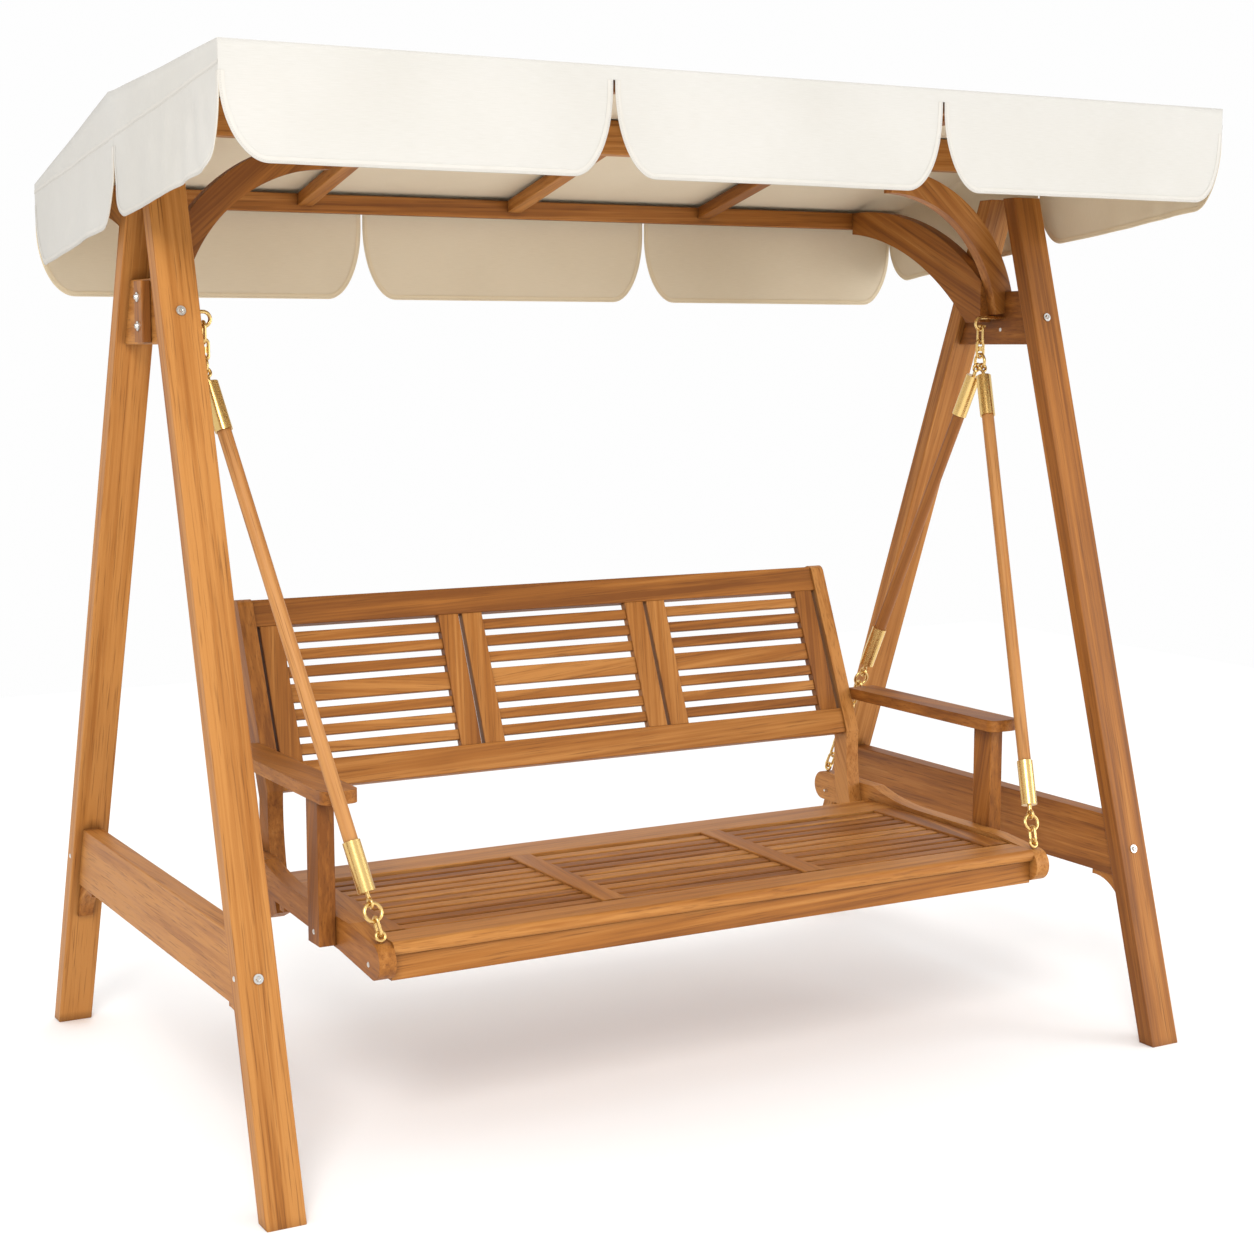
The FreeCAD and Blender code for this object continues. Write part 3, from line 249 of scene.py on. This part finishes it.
# ------------------------------------------------------------------- fabric
def cloth(name, colour, shade, thread, glow, stitches=False):
    """Woven cloth; its weave, and any stitching, follow the cut's own flat coordinates in metres."""
    mat, shader, out = material(name)
    flat = add(mat, "UVMap", {"uv_map": "cut"}).outputs[0]
    warp = add(mat, "TexWave", {"bands_direction": "X"}, Vector=flat, Scale=thread, Distortion=0.6,
               Detail=1.0).outputs["Fac"]
    weft = add(mat, "TexWave", {"bands_direction": "Y"}, Vector=flat, Scale=thread, Distortion=0.6,
               Detail=1.0).outputs["Fac"]
    weave = maths(mat, "MULTIPLY", maths(mat, "ADD", warp, weft), 0.5)
    place = add(mat, "TexCoord").outputs["Object"]
    cloud = add(mat, "TexNoise", Vector=place, Scale=3.2, Detail=3.0).outputs["Fac"]
    slub = add(mat, "TexNoise", Vector=add(mat, "Mapping", Vector=flat, Scale=(40, 900, 1)).outputs[0],
               Scale=1.0, Detail=2.0).outputs["Fac"]
    tint = maths(mat, "MULTIPLY_ADD", cloud, 0.55, maths(mat, "MULTIPLY", slub, 0.45))
    base = ramp(mat, tint, [(0.30, shade), (0.62, colour)])
    base = mixed(mat, maths(mat, "MULTIPLY", weave, 0.10), base, tuple(c * 0.8 for c in shade) + (1,))
    height = maths(mat, "MULTIPLY_ADD", weave, 0.6, maths(mat, "MULTIPLY", slub, 0.4))
    if stitches:
        lane = add(mat, "SeparateXYZ", Vector=flat)
        dash = maths(mat, "FRACT", maths(mat, "MULTIPLY", lane.outputs["X"], 1 / STITCH_PITCH))
        dash = maths(mat, "LESS_THAN", dash, STITCH_SHARE)
        off = maths(mat, "ABSOLUTE", maths(mat, "SUBTRACT", lane.outputs["Y"], STITCH_LINE))
        thread_line = maths(mat, "MULTIPLY", dash, maths(mat, "LESS_THAN", off, STITCH_HALF))
        groove = maths(mat, "LESS_THAN", off, GROOVE_HALF)
        # Painted shade: the colour along the stitch groove is darkened towards a deep tone of the cloth, on
        # top of the groove being sunk by the bump.
        groove_painted_shade = tuple(c * 0.55 for c in shade) + (1,)
        base = mixed(mat, maths(mat, "MULTIPLY", groove, 0.30), base, groove_painted_shade)
        base = mixed(mat, maths(mat, "MULTIPLY", thread_line, 0.8), base, (*colour, 1))
        height = maths(mat, "ADD", height, maths(mat, "MULTIPLY", groove, -1.6))
        height = maths(mat, "ADD", height, maths(mat, "MULTIPLY", thread_line, 2.6))
    join(mat, base, shader.inputs["Base Color"])
    shader.inputs["Roughness"].default_value = 0.88
    shader.inputs["Specular IOR Level"].default_value = 0.15
    shader.inputs["Sheen Weight"].default_value = 0.12
    bump = add(mat, "Bump", Strength=0.30, Distance=0.0003, Height=height)
    join(mat, bump.outputs[0], shader.inputs["Normal"])
    through = add(mat, "BsdfTranslucent", Color=base, Normal=bump.outputs[0])
    both = add(mat, "MixShader", Fac=glow, n1=shader.outputs[0], n2=through.outputs[0])
    join(mat, both.outputs[0], out.inputs["Surface"])
    return mat


STITCH_PITCH = 4 * MM
STITCH_LINE = 7.5 * MM
STITCH_SHARE = 0.72
STITCH_HALF, GROOVE_HALF = 0.7 * MM, 1.3 * MM
THREAD = 190.0
OUTSIDE = (0.635, 0.618, 0.582)
OUTSIDE_SHADE = (0.58, 0.56, 0.515)
INSIDE = (0.78, 0.68, 0.51)
INSIDE_SHADE = (0.72, 0.62, 0.45)

frame_wood = wood("oiled_frame_wood",
                  (0.185, 0.060, 0.010), (0.320, 0.116, 0.020), (0.455, 0.195, 0.047), 0.46)
seat_wood = wood("oiled_seat_wood",
                 (0.195, 0.064, 0.011), (0.330, 0.121, 0.021), (0.465, 0.201, 0.049), 0.44)
rod_wood = wood("oiled_rod_wood",
                (0.24, 0.086, 0.019), (0.385, 0.158, 0.040), (0.505, 0.240, 0.078), 0.48)
brass = metal("polished_brass", (0.80, 0.55, 0.21), 0.45, 0.20, 260.0)
zinc = metal("plated_steel", (0.72, 0.71, 0.68), 0.5, 0.28, 420.0)
cloth_outside = cloth("canopy_outside", OUTSIDE, OUTSIDE_SHADE, THREAD, 0.16)
cloth_inside = cloth("canopy_inside", INSIDE, INSIDE_SHADE, THREAD, 0.16)
cloth_hem = cloth("canopy_hem", (0.615, 0.59, 0.545), (0.55, 0.52, 0.465), THREAD, 0.08, True)
cloth_hem_inside = cloth("canopy_hem_inside", (0.76, 0.645, 0.455), (0.69, 0.575, 0.385), THREAD, 0.08, True)
webbing = cloth("tie_webbing", (0.70, 0.63, 0.50), (0.58, 0.51, 0.39), 330.0, 0.05, True)
finish = {"frame_wood": frame_wood, "seat_wood": seat_wood, "rod_wood": rod_wood, "brass": brass,
          "zinc": zinc, "canopy_cloth": cloth_outside, "tie_webbing": webbing}
for name, obj in sorted(frame["nodes"].items()):
    obj.data.materials.clear()
    obj.data.materials.append(finish[slot_of[name]])
    if slot_of[name].endswith("wood"):
        lay_grain(obj)

# ------------------------------------------------------------- canopy cloth
SHELL = 3 * MM
CLOTH = 1.1 * MM
FLAP_GAP = 5 * MM
FRONT_COUNT, SIDE_COUNT = 3, 2
CORNER_WIDE = 76 * MM
OUTER_TALL, SLIT_TALL, SIDE_TALL = 130 * MM, 150 * MM, 118 * MM
SLIT_DEPTH = 23 * MM
SLIT_BLEND = 0.16
BAND_ROWS = 4
SEAM_ROW = 3
FRONT_CORNER = (0, 12 * MM, 23 * MM, 35 * MM, 47 * MM)
REAR_CORNER = (0, 5 * MM, 10 * MM, 15 * MM, 40 * MM)
FLAP_ROWS = 16
NEAR = 0.001 * MM
FRONT_FLAP, SIDE_DROP = 184 * MM, 150 * MM
ROOF_SAG = 9 * MM

low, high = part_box("canopy")
half = high.x - SHELL / 2
fold_front = low.y + SHELL / 2
fold_rear = high.y - SHELL / 2
fold_front_z = high.z - SHELL / 2
beam_low, beam_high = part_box("middle_beam")
rail_low, rail_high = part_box("rear_rail")
front_rail_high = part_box("front_rail")[1]
rafter_low, rafter_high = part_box("rafters_front")
rafter_half = (rafter_high.x - rafter_low.x) / 2
ridge_z = beam_high.z + 1 * MM + SHELL / 2
rear_fall = (ridge_z - (rail_high.z + 1 * MM + SHELL / 2)) / (rail_high.y - beam_high.y)
fold_rear_z = ridge_z - rear_fall * (fold_rear - beam_high.y)
section = [(fold_front, fold_front_z), (beam_low.y, ridge_z),
           (beam_high.y, ridge_z), (fold_rear, fold_rear_z)]
FRONT_DROP = FRONT_FLAP - SHELL / 2
REAR_DROP = fold_rear_z - low.z


def smooth(value, start, end):
    share = min(max((value - start) / (end - start), 0.0), 1.0)
    return share * share * (3 - 2 * share)


def roof_height(back):
    for (near, near_z), (far, far_z) in zip(section, section[1:]):
        if back <= far:
            return near_z + (far_z - near_z) * (back - near) / (far - near)
    return section[-1][1]


def seam_depth(back):
    """Depth of the side seam under the roof edge: the seam is one straight line."""
    share = (back - fold_front) / (fold_rear - fold_front)
    front = fold_front_z - FRONT_CORNER[SEAM_ROW]
    rear = fold_rear_z - REAR_CORNER[SEAM_ROW]
    return roof_height(back) - front * (1 - share) - rear * share


def flap_spans(start, end, count):
    """The flaps' spans along an edge: equal shares, with a gap at each slit between them."""
    step = (end - start) / count
    slits = [start + n * step for n in range(1, count)]
    return list(zip([start] + [slit + FLAP_GAP / 2 for slit in slits],
                    [slit - FLAP_GAP / 2 for slit in slits] + [end]))


def across_tall(end):
    """Height of the rounded corner at one end of a front or rear flap: taller at a slit than at the side."""
    return OUTER_TALL if abs(end) > half - MM else SLIT_TALL


def side_tall(end):
    return SIDE_TALL


def hang_depth(spot, span, drop, tall):
    """How far a flap hangs at a place along it: straight below, with an elliptical corner at each end."""
    inset, end = min((abs(spot - end), end) for end in span)
    corner_tall = tall(end)
    if inset >= CORNER_WIDE:
        return drop
    share = 1 - inset / CORNER_WIDE
    return drop - corner_tall + corner_tall * math.sqrt(max(1 - share * share, 0.0))


def stations(spans, middle_count, extra=()):
    """Places along a roof edge, close together round the flap corners."""
    found = []
    for start, end in spans:
        turns = [CORNER_WIDE * (1 - math.cos(math.radians(90 * n / 10))) for n in range(11)]
        found += [start + t for t in turns] + [end - t for t in turns]
        near, far = start + CORNER_WIDE, end - CORNER_WIDE
        found += [near + (far - near) * n / middle_count for n in range(1, middle_count)]
    found = sorted(found + list(extra))
    return [spot for n, spot in enumerate(found) if n == 0 or spot - found[n - 1] > 1e-5]


across_spans = flap_spans(-half, half, FRONT_COUNT)
back_spans = flap_spans(fold_front, fold_rear, SIDE_COUNT)
RAFTER_IN = 12 * MM
columns = stations(across_spans, 48)
rows = stations(back_spans, 36, (beam_low.y, beam_high.y))
supports = [-half, RAFTER_IN - rafter_half, 0.0, rafter_half - RAFTER_IN, half]


def between(value, stops):
    """0 at each stop and 1 half-way between two of them."""
    for near, far in zip(stops, stops[1:]):
        if near <= value <= far:
            return math.sin(math.pi * (value - near) / (far - near)) ** 2
    return 0.0


def wave(x, y, z, seed):
    return field.noise(Vector((x, y, z + seed)))


def roof_point(x, y):
    """The roof, slack between the rails, the beam and the rafters, with faint pull lines from the corners."""
    span_front = between(y, [front_rail_high.y, beam_low.y])
    span_rear = between(y, [beam_high.y, rail_low.y])
    slack = max(span_front, span_rear)
    sag = ROOF_SAG * slack * (0.35 + 0.65 * between(x, supports))
    edge = smooth(half - abs(x), 0, 0.10)
    pull = 1.6 * MM * slack * edge * wave(x * 5, y * 16, 0, 3)
    return Vector((x, y, roof_height(y) - sag * max(edge, 0.45 * slack) + pull))


def flutter(along, down, total, seed):
    """Outward swing of a hanging flap: nothing at the fold, soft waves at its lower edge."""
    share = smooth(down, 0.015, total)
    broad = wave(along * 2.6, down * 1.5, 0, seed)
    fine = wave(along * 9, down * 4.0, 0, seed + 9)
    return share * (13 * MM * broad + 5 * MM * fine + 3 * MM * down / total)


def end_point(x, down, drop, seed, fold, fold_z, way):
    """A point of the front or rear flaps; way is the direction that faces out."""
    out = flutter(x, down, drop, seed) if down > 0 else 0.0
    out *= smooth(half - abs(x), -0.02, 0.05)
    return Vector((x, fold + way * out, fold_z - down))


def front_point(x, down):
    return end_point(x, down, FRONT_DROP, 11, fold_front, fold_front_z, -1)


def rear_point(x, down):
    return end_point(x, down, REAR_DROP, 31, fold_rear, fold_rear_z, 1)


def side_point(y, down, side):
    """A side panel: a taut gable to the seam, then flaps with crumpled edges near the front."""
    base = roof_point(side * half, y).z
    total = seam_depth(y) + SIDE_DROP
    out = flutter(y, down, total, 51 + side) if down > 0 else 0.0
    ends = smooth(min(y - fold_front, fold_rear - y), -0.01, 0.06)
    crumple = smooth(down, 0.03, 0.12) * (1 - smooth(y - fold_front, 0.05, 0.45))
    out = out * ends + 9 * MM * crumple * wave(y * 22, down * 9, 0, 77 + side) * ends
    gather = 2.2 * MM * smooth(down, 0.0, 0.03) * wave(y * 14, down * 22, 0, 91) * ends
    return Vector((side * (half + out + gather), y, base - down))


def band_depth(x, row, corner):
    """Depth of a row in the uncut band: the corner slits start lower than the others."""
    share = smooth(half - abs(x), 0, SLIT_BLEND)
    return corner[row] * (1 - share) + SLIT_DEPTH * row / BAND_ROWS * share


def side_band_depth(y, row):
    seam = seam_depth(y)
    if row <= SEAM_ROW:
        return seam * row / SEAM_ROW
    front = FRONT_CORNER[BAND_ROWS] - FRONT_CORNER[SEAM_ROW]
    rear = REAR_CORNER[BAND_ROWS] - REAR_CORNER[SEAM_ROW]
    share = (y - fold_front) / (fold_rear - fold_front)
    return seam + front * (1 - share) + rear * share


class Sheet:
    """Collects points and faces, with each face corner's place on the flat cut."""

    def __init__(self):
        self.points, self.faces, self.flats = [], [], []

    def strip(self, grid, flat, flip=False):
        start = len(self.points)
        wide = len(grid[0])
        for line in grid:
            self.points += line
        for r in range(len(grid) - 1):
            for c in range(wide - 1):
                corners = [(r, c), (r, c + 1), (r + 1, c + 1), (r + 1, c)]
                if flip:
                    corners.reverse()
                self.faces.append([start + a * wide + b for a, b in corners])
                self.flats.append([flat[a][b] for a, b in corners])

    def build(self, name, mats, thick, merge=True):
        mesh = bpy.data.meshes.new(name)
        mesh.from_pydata([tuple(p) for p in self.points], [], self.faces)
        layer = mesh.uv_layers.new(name="cut")
        flat = [value for face in self.flats for corner in face for value in corner]
        layer.data.foreach_set("uv", np.array(flat, np.float32))
        if merge:
            bm = bmesh.new()
            bm.from_mesh(mesh)
            bmesh.ops.remove_doubles(bm, verts=bm.verts, dist=0.02 * MM)
            bm.to_mesh(mesh)
            bm.free()
        mesh.polygons.foreach_set("use_smooth", [True] * len(mesh.polygons))
        obj = bpy.data.objects.new(name, mesh)
        bpy.context.scene.collection.objects.link(obj)
        for mat in mats:
            mesh.materials.append(mat)
        if thick:
            solid = obj.modifiers.new("thickness", "SOLIDIFY")
            solid.thickness = thick
            solid.offset = 0.0
            solid.material_offset = len(mats) - 1
            solid.material_offset_rim = 0
            solid.use_even_offset = False
        return obj


arc = [0.0]
for y, after in zip(rows, rows[1:]):
    arc.append(arc[-1] + math.hypot(after - y, roof_height(after) - roof_height(y)))
arc_at = dict(zip(rows, arc))

def within(span, places):
    return [place for place in places if span[0] - NEAR <= place <= span[1] + NEAR]


def hang_flaps(places, spans, surface, band, hem_line, cut, flip):
    """One edge of the canopy: an uncut band below the fold, then its separate flaps."""
    depth = [[band(place, row) for place in places] for row in range(BAND_ROWS + 1)]
    parts = [(places, depth)]
    for span in spans:
        mine = within(span, places)
        top = [band(place, BAND_ROWS) for place in mine]
        end = [hem_line(place, span) for place in mine]
        parts.append((mine, [[a + (b - a) * row / FLAP_ROWS for a, b in zip(top, end)]
                             for row in range(FLAP_ROWS + 1)]))
    for mine, depth in parts:
        canopy.strip([[surface(place, down) for place, down in zip(mine, line)] for line in depth],
                     [[cut(place, down) for place, down in zip(mine, line)] for line in depth], flip)


canopy = Sheet()
canopy.strip([[roof_point(x, y) for x in columns] for y in rows],
             [[(x, arc_at[y]) for x in columns] for y in rows])
for point, corner, drop, origin, sign in ((front_point, FRONT_CORNER, FRONT_DROP, 0.0, -1),
                                          (rear_point, REAR_CORNER, REAR_DROP, arc[-1], 1)):
    hang_flaps(columns, across_spans, point,
               lambda x, row: band_depth(x, row, corner),
               lambda x, span: hang_depth(x, span, drop, across_tall),
               lambda x, down: (x, origin + sign * down), sign < 0)
for side in (-1, 1):
    hang_flaps(rows, back_spans, lambda y, down: side_point(y, down, side), side_band_depth,
               lambda y, span: seam_depth(y) + hang_depth(y, span, SIDE_DROP, side_tall),
               lambda y, down: (side * (half + down), arc_at[y]), side > 0)


canopy_cloth = canopy.build("canopy_cloth", [cloth_outside, cloth_inside], CLOTH)
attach(canopy_cloth, "frame")
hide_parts("canopy")

# -------------------------------------------------------------- canopy hems
HEM_WIDE = 10 * MM
HEM_PROUD = 0.75 * MM
HEM_OUTER = 3
HEM_STEP = 9 * MM
SLIT_STEPS, CORNER_STEPS = 6, 18


def surface_normal(surface, along, down):
    step = 0.5 * MM
    first = surface(along + step, down) - surface(along - step, down)
    second = surface(along, down + step) - surface(along, max(down - step, 0.0))
    return first.cross(second).normalized()


def hem_path(span, tops, drop, tall, lift):
    """The edge of a flap from slit to slit, as (along, down, inward along, inward down)."""

    def end_path(end, top, inward):
        corner_tall = tall(end)
        side_end = lift(end) + drop - corner_tall
        found = [(end, top + (side_end - top) * n / SLIT_STEPS, inward, 0.0) for n in range(SLIT_STEPS)]
        for n in range(CORNER_STEPS + 1):
            turn = math.radians(90 * n / CORNER_STEPS)
            x = end + inward * CORNER_WIDE * (1 - math.cos(turn))
            way = Vector((math.cos(turn) * corner_tall, -math.sin(turn) * CORNER_WIDE)).normalized()
            down = lift(x) + drop - corner_tall + corner_tall * math.sin(turn)
            found.append((x, down, inward * way.x, way.y))
        return found

    near, far = span[0] + CORNER_WIDE, span[1] - CORNER_WIDE
    count = int((far - near) / HEM_STEP)
    middle = [near + (far - near) * n / count for n in range(1, count)]
    return (end_path(span[0], tops[0], 1.0) + [(x, lift(x) + drop, 0.0, -1.0) for x in middle]
            + end_path(span[1], tops[1], -1.0)[::-1])


def ribbon(surface, path, rings, outward):
    """A band laid along a path on the cloth; rings are (inset, height off the cloth, place on its cut)."""
    grid, flat = [], []
    run = 0.0
    last = None
    for along, down, in_along, in_down in path:
        here = surface(along, down)
        run += (here - last).length if last else 0.0
        last = here
        line = []
        for inset, out, _ in rings:
            a, d = along + in_along * inset, down + in_down * inset
            line.append(surface(a, d) + surface_normal(surface, a, d) * (out * outward))
        grid.append(line)
        flat.append([(run, mark) for _, _, mark in rings])
    return grid, flat


def finish_strip(strip, name, mats):
    piece = strip.build(name, mats, 0, merge=False)
    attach(piece, "frame")
    return piece


REACH = CLOTH / 2 + HEM_PROUD
HEM_RINGS = ((HEM_WIDE, REACH * 0.75, 0.0), (HEM_WIDE - MM, REACH, MM),
             (0.6 * MM, REACH, HEM_WIDE - 0.6 * MM), (-0.7 * MM, 0.0, HEM_WIDE + 0.5 * MM),
             (0.6 * MM, -REACH, HEM_WIDE - 0.6 * MM), (HEM_WIDE - MM, -REACH, MM),
             (HEM_WIDE, -REACH * 0.75, 0.0))


def add_hems(name, surface, spans, corner_top, drop, tall, lift, outward):
    """Folded hems round the flaps of one edge: a band on each face, joined past the raw edge."""
    strip = Sheet()
    for span in spans:
        path = hem_path(span, (corner_top(span[0]), corner_top(span[1])), drop, tall, lift)
        strip.strip(*ribbon(surface, path, HEM_RINGS, outward), flip=outward > 0)
    piece = finish_strip(strip, name, [cloth_hem, cloth_hem_inside])
    across = [0] * HEM_OUTER + [1] * HEM_OUTER
    piece.data.polygons.foreach_set("material_index", across * (len(piece.data.polygons) // len(across)))


def level(along):
    return 0.0


for name, point, corner, drop, outward in (("hem_front", front_point, FRONT_CORNER, FRONT_DROP, -1),
                                           ("hem_rear", rear_point, REAR_CORNER, REAR_DROP, 1)):
    add_hems(name, point, across_spans, lambda x: band_depth(x, BAND_ROWS, corner), drop, across_tall,
             level, outward)
for side, hand in ((-1, "left"), (1, "right")):
    add_hems("hem_" + hand, lambda y, down: side_point(y, down, side), back_spans,
             lambda y: side_band_depth(y, BAND_ROWS), SIDE_DROP, side_tall, seam_depth, -side)

SEAM_WIDE = 9 * MM
SEAM_LOW, SEAM_HIGH = CLOTH / 2 - 0.1 * MM, CLOTH / 2 + 0.7 * MM
SEAM_RINGS = ((-0.5 * SEAM_WIDE, SEAM_LOW, 0.0), (-0.38 * SEAM_WIDE, SEAM_HIGH, 1.5 * MM),
              (0.38 * SEAM_WIDE, SEAM_HIGH, 9 * MM), (0.5 * SEAM_WIDE, SEAM_LOW, 10.5 * MM))
for side, hand in ((-1, "left"), (1, "right")):
    seam = Sheet()
    seam_path = [(y, seam_depth(y), 0.0, 1.0) for y in rows]
    band = ribbon(lambda y, down: side_point(y, down, side), seam_path, SEAM_RINGS, -side)
    seam.strip(*band, flip=side < 0)
    finish_strip(seam, "seam_" + hand, [cloth_hem])

# --------------------------------------------------------------- strap ties
TIE_THICK = 1.8 * MM
TIE_CLEAR = 0.6 * MM
TIE_ROUND = 3.5 * MM
TIE_SHARES = (0, 0.12, 0.3, 0.5, 0.7, 0.88, 1)


def strap(low, high, middle):
    """Webbing that passes under a rail and up both faces to the cloth, with rounded corners."""
    gap = TIE_CLEAR + TIE_THICK / 2
    near, far, under, top = low.y - gap, high.y + gap, low.z - gap, high.z - 0.5 * MM
    bend = under + TIE_ROUND
    path = [(near, top - (top - bend) * n / 8) for n in range(8)]
    for centre_y, start in ((near + TIE_ROUND, 180), (far - TIE_ROUND, 270)):
        for n in range(7):
            turn = math.radians(start + 90 * n / 6)
            path.append((centre_y + TIE_ROUND * math.cos(turn), bend + TIE_ROUND * math.sin(turn)))
    path += [(far, bend + (top - bend) * n / 8) for n in range(1, 9)]
    grid, flat = [], []
    run = 0.0
    for n, (y, z) in enumerate(path):
        run += math.dist(path[n - 1], (y, z)) if n else 0.0
        grid.append([Vector((middle + (share - 0.5) * TIE_WIDE, y, z)) for share in TIE_SHARES])
        flat.append([(run, share * TIE_WIDE) for share in TIE_SHARES])
    return grid, flat


tie_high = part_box("canopy_ties")[1]
TIE_WIDE = 25 * MM
ties = Sheet()
for rail in ("front_rail", "rear_rail"):
    for side in (-1, 1):
        middle = side * (tie_high.x - TIE_WIDE / 2)
        ties.strip(*strap(*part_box(rail), middle), flip=True)
tie_straps = ties.build("tie_straps", [webbing], TIE_THICK, merge=False)
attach(tie_straps, "frame")
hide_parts("canopy_ties")

# -------------------------------------------------------- floor and studio
FLOOR_HALF = 5.0
floor_mesh = bpy.data.meshes.new("floor")
floor_turns = ((-1, -1), (1, -1), (1, 1), (-1, 1))
floor_mesh.from_pydata([(FLOOR_HALF * a, FLOOR_HALF * b, 0) for a, b in floor_turns], [], [(0, 1, 2, 3)])
floor = bpy.data.objects.new("floor", floor_mesh)
bpy.context.scene.collection.objects.link(floor)
floor_paint, floor_shader, _ = material("pale_floor")
floor_place = add(floor_paint, "TexCoord").outputs["Object"]
floor_cloud = add(floor_paint, "TexNoise", Vector=floor_place, Scale=0.8, Detail=2.0).outputs["Fac"]
floor_colour = ramp(floor_paint, floor_cloud, [(0.3, (0.955, 0.955, 0.955)), (0.7, (0.975, 0.975, 0.975))])
join(floor_paint, floor_colour, floor_shader.inputs["Base Color"])
floor_shader.inputs["Roughness"].default_value = 0.9
floor_shader.inputs["Specular IOR Level"].default_value = 0.0
floor_mesh.materials.append(floor_paint)

world = bpy.data.worlds.new("studio")
bpy.context.scene.world = world
world.use_nodes = True
world.node_tree.nodes["Background"].inputs["Color"].default_value = (1, 1, 1, 1)
world.node_tree.nodes["Background"].inputs["Strength"].default_value = 0.99


def area_light(name, place, aim, size, power, colour):
    data = bpy.data.lights.new(name, "AREA")
    data.shape = "DISK"
    data.size = size
    data.energy = power
    data.color = colour
    lamp = bpy.data.objects.new(name, data)
    bpy.context.scene.collection.objects.link(lamp)
    lamp.location = place
    lamp.rotation_euler = (Vector(aim) - Vector(place)).to_track_quat("-Z", "Y").to_euler()
    return lamp


area_light("key", (-3.2, -4.6, 4.2), (0, -0.1, 0.9), 2.2, 215, (1.0, 0.985, 0.96))
area_light("fill", (4.2, -3.4, 1.3), (0, 0.3, 1.3), 2.4, 80, (0.97, 0.985, 1.0))
area_light("top", (0.2, 0.6, 5.2), (0, -0.1, 0.8), 3.0, 30, (1, 1, 1))

camera_data = bpy.data.cameras.new("camera")
camera_data.lens = 62.44
camera_data.sensor_width = 36.0
camera_data.clip_end = 200.0
camera = bpy.data.objects.new("camera", camera_data)
bpy.context.scene.collection.objects.link(camera)
camera.location = (-2.136, -3.8815, 1.430)
camera.rotation_euler = Euler((math.radians(82.6), 0, math.radians(-29.4)))
bpy.context.scene.camera = camera
bpy.context.scene.view_settings.view_transform = "Standard"
